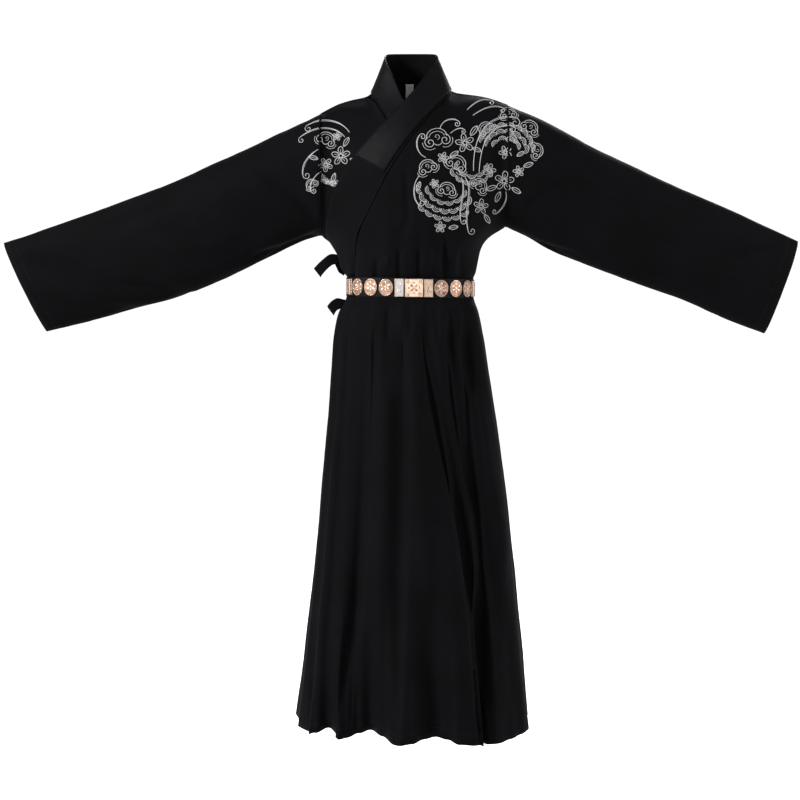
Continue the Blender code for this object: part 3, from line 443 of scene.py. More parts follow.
black_thread, thread_tree, thread_shader = finish("black_thread", 0.5, 0.35)
thread_shade = textured(thread_tree, "ShaderNodeTexNoise", "Object", Scale=60.0)
toned(thread_tree, thread_shader, thread_shade.outputs["Fac"], (0.006, 0.006, 0.007), (0.016, 0.016, 0.019))
SLEEVE_CREASES = {
    "left": creased(
        True, (13, 5, (-828, -338), (-632, -408), (-484, -427)),
        (8, 5, (-361, -355), (-235, -316), (-197, -299)), (16, 2.5, (-780, -300), (-640, -290), (-500, -235)),
        (12, 3.5, (-340, -160), (-250, -215), (-200, -270)),
        (15, -2.5, (-600, -330), (-440, -330), (-330, -290)),
        (12, 3, (-840, -420), (-700, -460), (-580, -465)), deeper=2) + creased(
        False, (15, 4, (-800, -340), (-620, -400), (-450, -410)),
        (14, 3, (-520, -250), (-380, -230), (-250, -260)),
        (12, 3.5, (-340, -170), (-260, -220), (-205, -280)),
        (14, -2.5, (-700, -300), (-560, -320), (-420, -320)), deeper=2),
    "right": creased(
        True, (12, 4, (277, -92), (350, -144), (448, -216)), (12, 4.5, (655, -361), (710, -352), (800, -320)),
        (9, 4.5, (215, -290), (260, -318), (360, -345)), (14, 3, (400, -350), (520, -385), (660, -425)),
        (12, 3, (220, -270), (280, -215), (350, -190)), (16, -2.5, (420, -260), (560, -290), (700, -300)),
        deeper=2) + creased(
        False, (14, 4, (420, -210), (560, -250), (720, -310)), (13, 3, (230, -200), (320, -260), (400, -310)),
        (14, 3.5, (480, -380), (620, -410), (780, -430)), (12, 3, (215, -285), (290, -300), (380, -340)),
        deeper=2),
}
sleeves = {}
for side, under in (("left", "cloth_front_inner"), ("right", "cloth_front_outer")):
    sleeve = cloth(f"sleeve_{side}", crepe, SLEEVE_LEVELS, SLEEVE_CREASES[side], round_arm,
                   out=0.0012, slack=0.0022)
    sagged = []
    for v in sleeve.data.vertices:
        arm = abs(v.co.x)
        share = clamped((arm - SAG_STARTS) / (SAG_FULL - SAG_STARTS)) * clamped(
            (SAG_ENDS - arm) / (SAG_ENDS - SAG_FADES))
        sagged.append((v.co.x, v.co.y, v.co.z + SAG * min(0.0, v.normal.z) * share))
    moved(sleeve, sagged)
    cuff = edge_of(sleeve, lambda point: abs(point.x))
    stitched(f"cuff_stitches_{side}", sleeve, [cuff], CUFF_INSET)
    sleeves[side] = sleeve

# ---- Skirt -------------------------------------------------------------------
# A wrapped skirt of three panels: the back, the inner front, and the outer front that overlaps it down the
# wearer's right. Each is gathered under the belt and falls in long soft folds to a turned, stitched hem.
SKIRT_LEVELS = 3
WAIST_Z, HEM_Z, HEM_DROP, HEM_INSET = -0.440, -1.355, 0.004, 0.020
FLARE, FLARE_TOP, FLARE_RUN = 0.042, 0.3, 0.1  # the flare, its share at the top, and how soon it starts
WAVES_START, WAVES_OUT, WAVES_DOWN = 0.55, 1.9, 0.55  # from which share of the drop, and how strong
HEM_WAVES = [(x / 1000, near / 1000) for x, near in (  # millimetres across the front, and out of it
    (-245, 0), (-221, 3), (-204, -4), (-174, -19), (-150, -2), (-135, -4), (-110, -16), (-85, -25),
    (-61, -13), (-36, 2), (1, -4), (26, -13), (50, -17), (75, -10), (99, 2), (136, 6), (161, 15), (186, 16),
    (210, 11), (235, 4), (250, 0))]


def hem_wave(x):
    """How far the front hem comes out at x, on a soft line through the table."""
    for (x0, near0), (x1, near1) in zip(HEM_WAVES, HEM_WAVES[1:]):
        if x0 <= x < x1:
            return near0 + (near1 - near0) * (0.5 - 0.5 * math.cos(math.pi * (x - x0) / (x1 - x0)))
    return 0.0


SKIRT_FRONT_CREASES = creased(
    True, (9, 3.5, (-76, -470), (-90, -748), (-109, -1047), (-149, -1340)),
    (9, 3.5, (-20, -470), (-18, -748), (-24, -988), (-36, -1350)),
    (10, 5.5, (20, -455), (43, -644), (93, -867), (133, -1108), (145, -1350)),
    (8, 4, (75, -460), (87, -656), (124, -867)), (9, 5, (112, -470), (124, -748), (146, -988), (151, -1350)),
    (13, -4, (125, -600), (178, -929), (213, -1226)), (16, -3, (-50, -600), (-56, -900), (-70, -1200)),
    (16, -3, (6, -560), (20, -860), (40, -1180)), (20, -3, (75, -900), (85, -1150), (90, -1350)),
    (5, 0.9, (-48, -442), (-50, -530)), (5, 0.9, (-4, -442), (-3, -520)), (5, 0.9, (48, -442), (56, -530)),
    (5, 0.9, (94, -442), (100, -540)), (18, 2.5, (30, -1000), (36, -1200), (48, -1350)),
    (14, 3, (190, -950), (205, -1150), (222, -1350)), wider=1.3, deeper=3.2)
SKIRT_BACK_CREASES = creased(
    False, (10, 4.5, (-88, -470), (-118, -800), (-158, -1340)),
    (9, 4, (-44, -460), (-60, -760), (-82, -1200)), (11, 4.5, (0, -470), (6, -800), (4, -1350)),
    (9, 4, (48, -460), (68, -760), (90, -1250)), (10, 4.5, (92, -470), (124, -800), (166, -1340)),
    (16, -3, (-24, -600), (-34, -900), (-40, -1250)), (16, -3, (28, -600), (40, -900), (48, -1250)),
    (16, -3, (-80, -700), (-104, -1000), (-122, -1300)), (5, 0.9, (-20, -442), (-22, -530)),
    (5, 0.9, (30, -442), (34, -540)), (5, 0.9, (76, -442), (82, -530)), (5, 0.9, (-70, -442), (-76, -540)),
    wider=1.3, deeper=2.6)
SKIRT_INNER_CREASES = SKIRT_FRONT_CREASES + creased(
    True, (8, 3, (-128, -480), (-150, -800), (-172, -1200)),
    (10, -2.5, (-150, -700), (-176, -1000), (-198, -1300)), wider=1.2, deeper=1.8)
skirt_back = cloth("skirt_back", crepe, SKIRT_LEVELS, SKIRT_BACK_CREASES, round_body,
                   slack=0.0015)
skirt_inner = cloth("skirt_inner", crepe, SKIRT_LEVELS, SKIRT_INNER_CREASES, round_body,
                    slack=0.001)
skirt_front = cloth("skirt_front", crepe, SKIRT_LEVELS, SKIRT_FRONT_CREASES, round_body,
                    out=0.0006, slack=0.001)
drawn_to(skirt_inner, skirt_back)
drawn_to(skirt_front, skirt_back)
for panel in (skirt_back, skirt_inner, skirt_front):
    for v in panel.data.vertices:
        fall = clamped((WAIST_Z - v.co.z) / (WAIST_Z - HEM_Z))
        flare = 1.0 + FLARE * min(1.0, fall / FLARE_RUN) * (FLARE_TOP + (1.0 - FLARE_TOP) * fall)
        v.co = (v.co.x * flare, v.co.y * flare, v.co.z - HEM_DROP * fall)
        if panel is not skirt_back:
            near = hem_wave(v.co.x) * max(0.0, (fall - WAVES_START) / (1.0 - WAVES_START)) ** 2
            v.co.y -= WAVES_OUT * near
            v.co.z -= WAVES_DOWN * near
for panel in (skirt_back, skirt_inner, skirt_front):
    hem = edge_of(panel, lambda point: -point.z, few=4)
    stitched(f"hem_stitches_{panel.name[6:]}", panel, [hem], HEM_INSET)

# ---- Collar ------------------------------------------------------------------
# A folded band of crepe sewn round the neck and down both fronts to the waist. Over its neck part lies a
# guard of glossy black satin with piping along its edges and a square end on the breast.
COLLAR_LEVELS = 2
PIPING, NECK_SEAM, ARM_SEAM = 0.0009, 0.0014, 0.0012  # radii of the cords
GUARD_INSET, BAND_INSET = 0.0035, 0.0030
WEFT = 0.0007


def black_satin(name):
    """Glossy satin: near black, with a fine weft, small puckers and uneven gloss."""
    material, tree, shader = finish(name, 0.42, 0.05)
    shader.inputs["Base Color"].default_value = (0.005, 0.005, 0.006, 1.0)
    shader.inputs["Sheen Weight"].default_value = 0.03
    gloss = textured(tree, "ShaderNodeTexNoise", "Object", Scale=35.0, Detail=4.0)
    span = node(tree, "ShaderNodeMapRange", To_Min=0.34, To_Max=0.52)
    tree.links.new(gloss.outputs["Fac"], span.inputs["Value"])
    tree.links.new(span.outputs["Result"], shader.inputs["Roughness"])
    weft = textured(tree, "ShaderNodeTexWave", "UV", Scale=BAND / WEFT, Distortion=1.0)
    pucker = textured(tree, "ShaderNodeTexNoise", "Object", Scale=85.0, Detail=3.0)
    fine = raised(tree, shader, weft.outputs["Fac"], 0.25, 0.0002)
    raised(tree, shader, pucker.outputs["Fac"], 0.35, 0.0015, over=fine)
    return material


def corded(name, runs, radius, roundness, material):
    """Round cords along runs of points, each with its share of the radius."""
    curve = bpy.data.curves.new(name, "CURVE")
    curve.dimensions = "3D"
    curve.bevel_depth = radius
    curve.bevel_resolution = roundness
    curve.use_fill_caps = True
    for run, share in runs:
        spline = curve.splines.new("POLY")
        spline.points.add(len(run) - 1)
        for point, place in zip(spline.points, run):
            point.co = (*place, 1.0)
            point.radius = share
    curve.materials.append(material)
    cord = bpy.data.objects.new(name, curve)
    bpy.context.scene.collection.objects.link(cord)
    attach(cord, "root")
    return cord


def rope(name, runs, radius, material, inset):
    """A thin round cord laid along runs of a sheet's edge."""
    laid = [([place + way * inset for place, way in run], 1.0) for run in runs]
    corded(name, laid, radius, 2, material)


satin = black_satin("black_satin")
collar_band = cloth("collar_band", crepe, COLLAR_LEVELS, FRONT_CREASES, round_body)
collar_guard = cloth("collar_guard", satin, COLLAR_LEVELS, [], round_body)
for side, sleeve in sleeves.items():
    armhole = edge_of(sleeve, lambda point: -abs(point.x))
    rope(f"armhole_seam_{side}", [armhole], ARM_SEAM, crepe, inset=-0.0004)
neck_edge = edge_of(back, lambda point: point.z - abs(point.x), few=6)
guard_edges = edges_of(collar_guard)[:4]
rope("neck_seam", [neck_edge], NECK_SEAM, crepe, inset=-0.0006)
rope("guard_piping", guard_edges, PIPING, satin, inset=0.0006)
stitched("guard_stitches", collar_guard, guard_edges, GUARD_INSET)
stitched("band_stitches", collar_band, edges_of(collar_band)[:2], BAND_INSET)

# ---- Side ties ---------------------------------------------------------------
# Narrow ribbons of the same crepe at the wearer's right side. The upper pair is tied above the belt, with
# one tail out to the side and one end hanging, and the lower one shows as a loop under the belt.
TIE_THICKNESS, TIE_LEVELS = 0.0009, 2
TIES = (  # name, flat size, cloth below, run, how much wider, turn, and the shift of each end in millimetres
    ("tie_upper_tail", (0.0210, 0.0590), "cloth_front_inner", (-1.0, 0.0, -0.3), 1.65, 0, (6, -8), (-1, -9)),
    ("tie_upper_end", (0.0140, 0.0435), "cloth_front_inner", (0.0, 0.0, -1.0), 1.15, 60, (0, -6), (7, 0)),
    ("tie_lower_loop", (0.0240, 0.0450), "cloth_skirt_inner", (-1.0, 0.0, -0.5), 1.9, 0, (4, -7.5), (-1, -1)))


def settled(piece, along, wider, turn, root_shift, tip_shift):
    """Let a ribbon lie as it fell: spread across its run, turned about it, and with its two ends shifted."""
    places = [v.co.copy() for v in piece.data.vertices]
    ordered = sorted(places, key=lambda place: place.dot(along))
    few = len(ordered) // 8
    root, tip = sum(ordered[:few], Vector()) / few, sum(ordered[-few:], Vector()) / few
    run = tip - root
    across = run.cross(Vector((0.0, -1.0, 0.0))).normalized()
    twist = Matrix.Rotation(turn, 3, run.normalized())
    shares = [(place - root).dot(run) / run.length_squared for place in places]
    laid = []
    for place, share in zip(places, shares):
        near = [other for other, o in zip(places, shares) if abs(o - share) < 0.1]
        centre = sum(near, Vector()) / len(near)
        off = twist @ (place - centre)
        off += across * off.dot(across) * (wider - 1.0)
        shift = clamped(share)
        laid.append(centre + off + root_shift * (1.0 - shift) + tip_shift * shift)
    moved(piece, laid)


for name, flat, below, along, wider, turn, root, tip in TIES:
    tie = cloth(name, crepe, TIE_LEVELS, [], round_body, thickness=TIE_THICKNESS)
    root_shift, tip_shift = [Vector((x / 1000, 0.0, z / 1000)) for x, z in (root, tip)]
    settled(tie, Vector(along), wider, math.radians(turn), root_shift, tip_shift)

# ---- Neck label --------------------------------------------------------------
# A small blank label of white woven satin, with its top edge turned under, sewn by that edge to the inside
# of the back, just below the neck seam.
LABEL_THICKNESS, LABEL_LEVELS, LABEL_WEFT = 0.0006, 2, 0.0005
white_satin, label_tree, label_shader = finish("white_satin", 0.55, 0.4)
label_shader.inputs["Sheen Weight"].default_value = 0.2
label_weave = textured(label_tree, "ShaderNodeTexWave", "UV", Scale=BAND / LABEL_WEFT, Distortion=0.5)
toned(label_tree, label_shader, label_weave.outputs["Fac"], (0.92, 0.91, 0.92), (0.99, 0.98, 0.98))
raised(label_tree, label_shader, label_weave.outputs["Fac"], 0.3, 0.0002)
cloth("neck_label", white_satin, LABEL_LEVELS, [], round_body,
      thickness=LABEL_THICKNESS)

# ---- Belt --------------------------------------------------------------------
# A stiff black leather belt, four centimetres wide, closed all round. Its cut edges are rounded and dyed,
# and a row of stitches runs along both.
BELT_EDGE, BELT_INSET = 0.0006, 0.0025
BELT_LEVELS, FACE_LEVELS = 1, 2
leather, leather_tree, leather_shader = finish("belt_leather", 0.52, 0.12)
leather_shade = textured(leather_tree, "ShaderNodeTexNoise", "Object", Scale=24.0, Detail=6.0)
leather_grain = textured(leather_tree, "ShaderNodeTexVoronoi", "Object", Scale=900.0)
toned(leather_tree, leather_shader, leather_shade.outputs["Fac"], (0.004, 0.004, 0.005),
      (0.010, 0.009, 0.010))
raised(leather_tree, leather_shader, leather_grain.outputs["Distance"], 0.35, 0.0003)
ring = bmesh.new()
ring.from_mesh(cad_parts["belt_band"].data)
bmesh.ops.remove_doubles(ring, verts=ring.verts, dist=WELD)
bmesh.ops.join_triangles(ring, faces=ring.faces, angle_face_threshold=0.3, angle_shape_threshold=math.pi)
rims = [edge for edge in ring.edges if edge.calc_face_angle(0.0) > RIM_ANGLE]
bmesh.ops.bevel(ring, geom=rims, offset=BELT_EDGE, segments=2, profile=0.5, affect="EDGES", material=-1)
belt = made("belt_strap", ring, leather)
finer(belt, BELT_LEVELS)
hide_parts("belt_band")
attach(belt, "root")
belt_face = made("belt_face", outer_face("belt_band"), leather)
finer(belt_face, FACE_LEVELS)
stitched("belt_stitches", belt_face, edges_of(belt_face)[:2], BELT_INSET)
bpy.data.objects.remove(belt_face)

# ---- Belt plaques ------------------------------------------------------------
# Cast plates riveted along the front of the belt: ovals and bars each side of a square middle one and two
# narrow ones. Each has a raised pale rim round a sunk floor. On it the ovals and the middle have flowers, the
# narrow ones four crossed petals, and the bars a row of bumps.
RIM_WIDTH, FLOOR_DEPTH, ROUNDING, PLATE_GAP = 0.0013, 0.0008, 0.00035, 0.0012
BEAD, LINK, PETAL = (0.0009, 0.0006), (0.0030, 0.0012), (0.0042, 0.0011)  # half lengths and half widths
KNOB, BUMP_WIDTH, BEAD_SLANT = 0.0016, 0.0018, 0.9
METALS = (  # name, dark and light tone, and roughness
    ("pale_rose_rim", (0.86, 0.68, 0.60), (0.96, 0.84, 0.78), 0.30),
    ("copper_floor", (0.34, 0.17, 0.10), (0.72, 0.46, 0.32), 0.42),
    ("rose_gold_relief", (0.72, 0.45, 0.33), (0.93, 0.70, 0.58), 0.28),
    ("peach_gold", (0.84, 0.58, 0.42), (0.97, 0.78, 0.62), 0.36),
    ("pale_gold", (0.90, 0.84, 0.82), (0.99, 0.96, 0.95), 0.36))
RIM, COPPER, ROSE, PEACH, PALE = range(5)


def cast_metal(name, dark, light, roughness):
    """Worn cast metal: two tones in soft blotches, with fine pits."""
    material, tree, shader = finish(name, roughness, 0.5, 0.75)
    blotch = textured(tree, "ShaderNodeTexNoise", "Object", Scale=160.0, Detail=4.0)
    toned(tree, shader, blotch.outputs["Fac"], dark, light, 0.36, 0.62)
    raised(tree, shader, blotch.outputs["Fac"], 0.3, 0.0002)
    return material


def boss(bm, spot, z, long, wide, high, turn=0.0):
    """A rounded bump of relief, half sunk in the floor."""
    place = Matrix.Translation((*spot, z)) @ Matrix.Rotation(turn, 4, "Z")
    bmesh.ops.create_uvsphere(bm, u_segments=14, v_segments=8, radius=1.0,
                              matrix=place @ Matrix.Diagonal((long, wide, high, 1.0)))


def on_oval(a, long, wide, spot=(0.0, 0.0)):
    """The place at an angle on an oval round a spot."""
    return spot[0] + long * math.cos(a), spot[1] + wide * math.sin(a)


def rosette(bm, z, size, petals, turn, high, spot=(0.0, 0.0)):
    """Petals round a middle bump."""
    boss(bm, spot, z, size * 0.24, size * 0.24, high * 1.2)
    for i in range(petals):
        a = turn + i * math.tau / petals
        boss(bm, on_oval(a, 0.60 * size, 0.60 * size, spot), z, size * 0.34, size * 0.20, high, a)


metals = [cast_metal(*row) for row in METALS]
for name in sorted(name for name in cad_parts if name.startswith("plaque_")):
    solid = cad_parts[name].data
    corners = [v.co for v in solid.vertices]
    middle = sum(corners, Vector()) / len(corners)
    out = max(solid.polygons, key=lambda polygon: polygon.area).normal.copy()
    out = -out if out.dot(Vector((middle.x, middle.y, 0.0))) < 0 else out
    across = Vector((0.0, 0.0, 1.0)).cross(out).normalized()
    up = out.cross(across)
    places = [[corner.dot(way) for corner in corners] for way in (across, up, out)]
    spans = [(min(row), max(row)) for row in places]
    width, height, thick = [high - low for low, high in spans]
    width -= 0.0 if "oval" in name else PLATE_GAP
    centre = sum((way * (low + high) / 2 for way, (low, high) in zip((across, up, out), spans)), Vector())
    plate = bmesh.new()
    size = Matrix.Diagonal((width, height, thick, 1.0))
    if "oval" in name:
        bmesh.ops.create_cone(plate, cap_ends=True, segments=44, radius1=0.5, radius2=0.5, depth=1.0,
                              matrix=size)
    else:
        bmesh.ops.create_cube(plate, size=1.0, matrix=size)
    plate.normal_update()
    face = max(plate.faces, key=lambda f: f.normal.z)
    outline = [e for e in plate.edges if "oval" not in name or e in face.edges[:]]
    rim = min(RIM_WIDTH, width * 0.16)
    bmesh.ops.inset_region(plate, faces=[face], thickness=rim - ROUNDING, depth=0.0, use_even_offset=True)
    bmesh.ops.inset_region(plate, faces=[face], thickness=ROUNDING, depth=-FLOOR_DEPTH, use_even_offset=True)
    bmesh.ops.bevel(plate, geom=outline, offset=ROUNDING, segments=3, profile=0.5, affect="EDGES",
                    material=-1)
    if "narrow_left" in name:
        ground_metal, bump_metal = PALE, PEACH
    elif "narrow" in name or "middle" in name:
        ground_metal, bump_metal = PEACH, COPPER
    else:
        ground_metal, bump_metal = COPPER, ROSE
    face.material_index = ground_metal
    cast = len(plate.faces)
    ground = thick / 2 - FLOOR_DEPTH
    reach = min(width, height) / 2 - rim
    if "oval" in name:
        rosette(plate, ground, reach * 0.95, 6, math.pi / 2, FLOOR_DEPTH * 0.95)
        beads = (width / 2 - rim * 1.9, height / 2 - rim * 1.9)
        for i in range(12):
            a = (i + 0.5) * math.tau / 12
            boss(plate, on_oval(a, *beads), ground, *BEAD, FLOOR_DEPTH * 0.7, a + BEAD_SLANT)
    elif "middle" in name:
        rosette(plate, ground, reach * 0.62, 4, math.pi / 4, FLOOR_DEPTH)
        for i in range(4):
            a = i * math.pi / 2
            link = on_oval(a, reach * 0.62, reach * 0.62)
            boss(plate, link, ground, *LINK, FLOOR_DEPTH * 0.8, a + math.pi / 2)
            a += math.pi / 4
            corner = on_oval(a, reach * 1.02, reach * 1.02)
            rosette(plate, ground, reach * 0.30, 5, a, FLOOR_DEPTH * 0.9, corner)
    elif "narrow" in name:
        for i in range(4):
            a = math.atan2(height, width) * (1 if i % 2 else -1) + (math.pi if i > 1 else 0.0)
            boss(plate, on_oval(a, reach * 0.72, reach * 0.95), ground, *PETAL, FLOOR_DEPTH * 0.8, a)
        boss(plate, (0.0, 0.0), ground, KNOB, KNOB, FLOOR_DEPTH)
    else:
        for i in range(5):
            boss(plate, (0.0, (i - 2) * height * 0.16), ground, reach * 0.75, BUMP_WIDTH, FLOOR_DEPTH * 0.8)
    plate.faces.ensure_lookup_table()
    for i in range(cast, len(plate.faces)):
        plate.faces[i].material_index = bump_metal
    plate.transform(Matrix.Translation(centre) @ Matrix((across, up, out)).transposed().to_4x4())
    piece = made(f"cast_{name}", plate, metals[RIM])
    for metal in metals[COPPER:]:
        piece.data.materials.append(metal)
    piece.data.set_sharp_from_angle(angle=math.radians(40))
    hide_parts(name)
    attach(piece, "root")

# ---- Embroidery --------------------------------------------------------------
# Silver-white machine embroidery over the wearer's left breast and shoulder, and a smaller spray on the
# right shoulder: rolled clouds, wave scales, flowers and loose scrolls, in raised outlines of twisted thread.
THREAD, FINE_THREAD, TWIST = 0.00072, 0.00050, 0.0011  # radii of the two threads, and a twist's length
STEP, LEAP = 0.002, 0.0064  # how far apart the points of a thread are, and the longest gap it crosses
RISE = 0.35  # how far a thread's middle stands off the cloth, as a share of its radius
COVERED = 0.004  # cloth this close below the collar is covered by it
BACKWARD = Vector((0.0, 1.0, 0.0))
grounds = [tree_of(piece) for piece in (front_outer, front_inner, sleeves["left"], sleeves["right"], back)]
covers = [tree_of(piece) for piece in (collar_band, collar_guard)]


def spiral(x, z, size, start, turns, steps=26):
    """A rolled curl in the front view, wound inwards; negative turns wind the other way."""
    return [(x + size * (1 - 0.86 * i / steps) * math.cos(start + turns * math.tau * i / steps),
             z + size * (1 - 0.86 * i / steps) * math.sin(start + turns * math.tau * i / steps))
            for i in range(steps + 1)]


def arc(x, z, wide, high, first, last, steps=18):
    """Part of an upright oval, from one angle to another in degrees."""
    angles = [math.radians(first + (last - first) * i / steps) for i in range(steps + 1)]
    return [(x + wide * math.cos(a), z + high * math.sin(a)) for a in angles]


def sweep_line(*points, steps=24):
    """A smooth line bent by two inner points."""
    a, b, c, d = [Vector((*point, 0.0)) for point in points]
    return [(p.x, p.y) for p in interpolate_bezier(a, b, c, d, steps)]


def placed(line, x, z, size, lean):
    """A line drawn about the middle at size one, put at x, z at its size in millimetres, and leaned by some
    degrees. Its points come out in metres."""
    u, w = size / 1000 * math.cos(math.radians(lean)), size / 1000 * math.sin(math.radians(lean))
    return [(x / 1000 + p * u - q * w, z / 1000 + p * w + q * u) for p, q in line]


def cloud(x, z, size, lean):
    """A rolled cloud head: a domed top, two curls under it, a lower lip and a small inner roll."""
    lines = ((arc(0, 0.18, 0.62, 0.50, -8, 188), THREAD), (arc(0, 0.16, 0.46, 0.34, 0, 180), FINE_THREAD),
             (spiral(-0.46, -0.10, 0.36, math.pi * 0.55, 1.5), THREAD),
             (spiral(0.46, -0.10, 0.36, math.pi * 0.45, -1.5), THREAD),
             (arc(0, -0.14, 0.24, 0.20, 200, 340), THREAD),
             (arc(-0.46, -0.12, 0.46, 0.42, 165, 300), FINE_THREAD),
             (arc(0.46, -0.12, 0.46, 0.42, 240, 375), FINE_THREAD),
             (spiral(0, 0.18, 0.20, -math.pi / 2, 1.2, 16), FINE_THREAD))
    return [(placed(line, x, z, size, lean), thick) for line, thick in lines]


def flower(x, z, size, lean):
    """Five open petals, each with a vein, round a ring."""
    petal, vein = arc(0.62, 0, 0.38, 0.27, 0, 360), [(0.30, 0), (0.50, 0), (0.72, 0)]
    lines = [(placed(arc(0, 0, 0.20, 0.20, 0, 360), x, z, size, 0), THREAD)]
    for turn in range(0, 360, 72):
        lines += [(placed(petal, x, z, size, lean + turn), THREAD),
                  (placed(vein, x, z, size, lean + turn), FINE_THREAD)]
    return lines


def waves(x, z, size, count, lean):
    """A row of wave scales, each of three arcs one in another."""
    return [(placed(arc(i * 1.7, 0, r, r, 0, 180), x, z, size, lean), THREAD if r == 1 else FINE_THREAD)
            for i in range(count) for r in (1, 0.68, 0.36)]


def scales(x, z, radius, first, last, count, size):
    """Wave scales set along an arc."""
    lines = []
    for i in range(count):
        a = math.radians(first + (last - first) * i / (count - 1))
        lines += waves(x + radius * math.cos(a), z + radius * math.sin(a), size, 1, math.degrees(a) - 90)
    return lines


def leaf(x, z, size, lean):
    """A pointed leaf with its vein."""
    lines = []
    for side in (0.45, -0.45):
        a = (0.3 * math.cos(side * 2), 0.3 * math.sin(side * 2))
        b = (0.8 * math.cos(side * 0.9), 0.8 * math.sin(side * 0.9))
        lines.append((sweep_line(*placed(((0, 0), a, b, (1, 0)), x, z, size, lean)), THREAD))
    vein = placed(((0, 0), (0.3, 0), (0.6, 0), (1, 0)), x, z, size, lean)
    return [*lines, (sweep_line(*vein), FINE_THREAD)]


def scroll(start, a, b, end, curl, turns):
    """A loose scroll: a double line that ends in a curl."""
    start, a, b, end = [(u / 1000, w / 1000) for u, w in (start, a, b, end)]
    curl /= 1000
    line = sweep_line(start, a, b, end)
    way = Vector((line[-1][0] - line[-2][0], line[-1][1] - line[-2][1])).normalized()
    side = Vector((-way.y, way.x)) * (1 if turns > 0 else -1)
    middle = Vector(end) + side * curl
    first = math.atan2(-side.y, -side.x)
    inner = sweep_line(start, (a[0] + side.x * curl * 0.5, a[1] + side.y * curl * 0.5),
                       (b[0] + side.x * curl * 0.5, b[1] + side.y * curl * 0.5), end)
    return [(line + spiral(middle.x, middle.y, curl, first, turns)[1:], THREAD), (inner, FINE_THREAD)]


def on_cloth(spot, thick):
    """Where a thread lies on the cloth behind a spot of the front view, if the collar doesn't cover it."""
    eye = Vector((spot.x, -1.0, spot.y))
    hits = [hit for hit in (tree.ray_cast(eye, BACKWARD) for tree in grounds) if hit[0]]
    shades = [hit for hit in (tree.ray_cast(eye, BACKWARD) for tree in covers) if hit[0]]
    place, normal, _, far = min(hits, key=lambda hit: hit[3], default=(None, None, None, None))
    if place is None or normal.y >= -0.1 or any(shade[3] < far + COVERED for shade in shades):
        return None
    return place + normal * thick * RISE


def embroidered(name, lines):
    """Lines of the front view laid on the cloth as raised thread."""
    runs = []
    for line, thick in lines:
        even = [Vector(line[0])]
        for point in line[1:]:
            while (Vector(point) - even[-1]).length > STEP:
                even.append(even[-1] + (Vector(point) - even[-1]).normalized() * STEP)
        laid = [[]]
        for place in (on_cloth(spot, thick) for spot in even):
            if place is None or (laid[-1] and (place - laid[-1][-1]).length > LEAP):
                laid.append([])
            if place is not None:
                laid[-1].append(place)
        runs += [(run, thick / THREAD) for run in laid if len(run) > 2]
    corded(name, runs, THREAD, 1, silver)


silver, silver_tree, silver_shader = finish("silver_thread", 0.42, 0.5)
silver_shader.inputs["Sheen Weight"].default_value = 0.3
# The twist drives both the thread's relief and its colour: the dark bands in its grooves are painted shade,
# and the light ones are the thread's own silver-white.
silver_twist_and_shade = textured(silver_tree, "ShaderNodeTexWave", "Object", Scale=BAND / TWIST, Distortion=2.0)
silver_twist_and_shade.bands_direction = "DIAGONAL"
toned(silver_tree, silver_shader, silver_twist_and_shade.outputs["Fac"], (0.36, 0.36, 0.37), (0.74, 0.74, 0.74))
raised(silver_tree, silver_shader, silver_twist_and_shade.outputs["Fac"], 0.5, 0.0003)

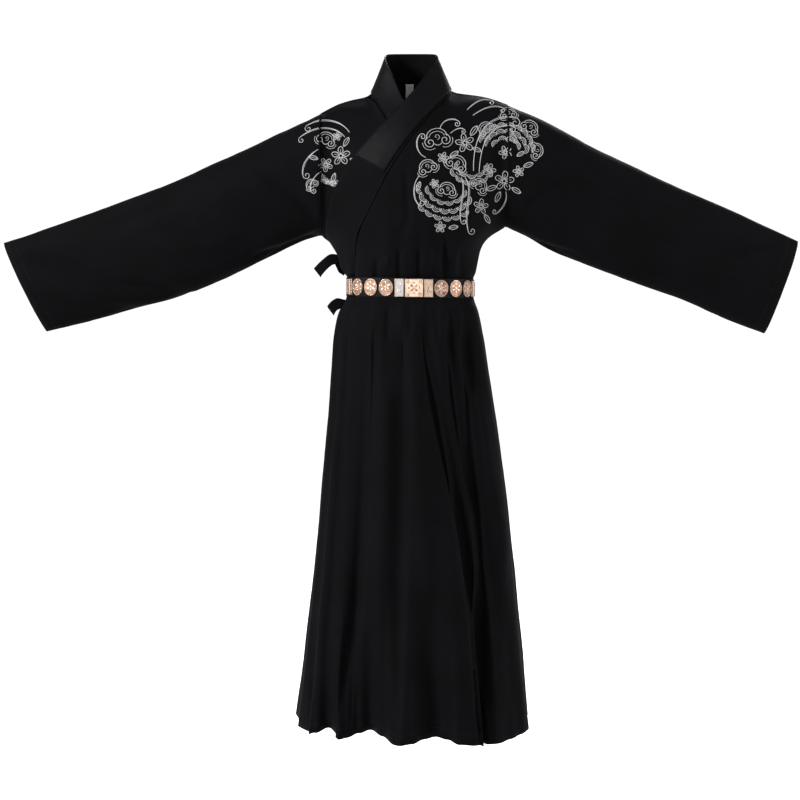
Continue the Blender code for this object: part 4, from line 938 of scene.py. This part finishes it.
breast = [  # places, sizes and curls in millimetres, leans in degrees
    *cloud(54, -108, 35, 12), *cloud(94, -160, 29, -28), *cloud(34, -168, 26, 24), *cloud(74, -214, 25, -10),
    *scales(74, -196, 56, 196, 318, 8, 10.5), *scales(74, -196, 72, 226, 300, 6, 9.5),
    *flower(112, -114, 20, 30), *leaf(98, -132, 22, 215), *leaf(124, -98, 26, 55), *leaf(128, -124, 20, -20),
    *flower(66, -146, 12, 0), *leaf(18, -196, 20, 250),
    *scroll((112, -186), (132, -215), (104, -258), (120, -300), 8, 1.3),
    *scroll((104, -186), (116, -220), (94, -250), (104, -280), 6, 1.3),
    *scroll((30, -146), (10, -138), (4, -112), (18, -98), 7, -1.3),
    *scroll((60, -84), (64, -66), (86, -56), (100, -68), 7, -1.3),
    *scroll((16, -184), (-2, -206), (4, -240), (18, -246), 7, 1.3),
    *scroll((82, -94), (92, -84), (104, -78), (112, -86), 5, -1.3), *cloud(142, -204, 24, -38),
    *flower(146, -246, 16, 12), *leaf(154, -262, 22, -55), *scales(126, -150, 30, 205, 335, 5, 9),
    *scales(126, -150, 44, 215, 325, 6, 9), *scales(74, -196, 40, 205, 325, 6, 9), *flower(48, -200, 10, 40),
    *leaf(78, -292, 20, 10), *flower(60, -290, 12, 15)]
shoulder = [
    *scroll((130, -172), (128, -92), (165, -44), (222, -58), 11, -1.2),
    *scroll((142, -176), (144, -106), (172, -66), (214, -76), 8, -1.2), *cloud(158, -84, 24, 40),
    *cloud(206, -50, 23, 8), *cloud(250, -80, 26, -32), *cloud(262, -128, 23, -78),
    *scales(198, -132, 40, 150, 10, 7, 10), *scales(198, -132, 26, 140, 30, 4, 9), *flower(198, -132, 14, 40),
    *flower(196, -192, 21, 10), *flower(226, -172, 12, 30), *leaf(180, -203, 24, 200),
    *leaf(212, -206, 22, -30), *leaf(188, -214, 24, 245), *leaf(236, -162, 22, 20),
    *scroll((200, -214), (206, -236), (192, -252), (180, -260), 6, -1.2),
    *scroll((118, -42), (136, -22), (150, -12), (172, -18), 6, -1.2),
    *scroll((130, -54), (150, -38), (176, -24), (196, -36), 6, -1.2), *scales(198, -132, 54, 150, 10, 9, 9.5),
    *leaf(222, -140, 18, 30), *flower(164, -170, 14, 0), *cloud(212, -104, 14, -10)]
spray = [
    *cloud(-180, -106, 26, -22), *flower(-148, -140, 20, 20), *flower(-180, -158, 15, 50),
    *scales(-160, -160, 30, 230, 310, 4, 9.5), *leaf(-142, -120, 22, 60), *leaf(-128, -146, 20, -40),
    *leaf(-196, -146, 20, 165), *scroll((-130, -90), (-150, -60), (-190, -52), (-222, -74), 8, 1.3),
    *scroll((-140, -100), (-160, -74), (-200, -70), (-236, -100), 7, 1.2),
    *scroll((-196, -126), (-218, -138), (-234, -158), (-228, -182), 8, 1.3),
    *scroll((-190, -172), (-208, -184), (-220, -204), (-210, -216), 6, 1.3), *cloud(-210, -200, 17, 40),
    *waves(-186, -196, 8, 3, -20), *leaf(-160, -176, 20, 250), *flower(-156, -98, 10, 10)]
embroidered("embroidery_breast", breast)
embroidered("embroidery_left_shoulder", shoulder)
embroidered("embroidery_right_shoulder", spray)
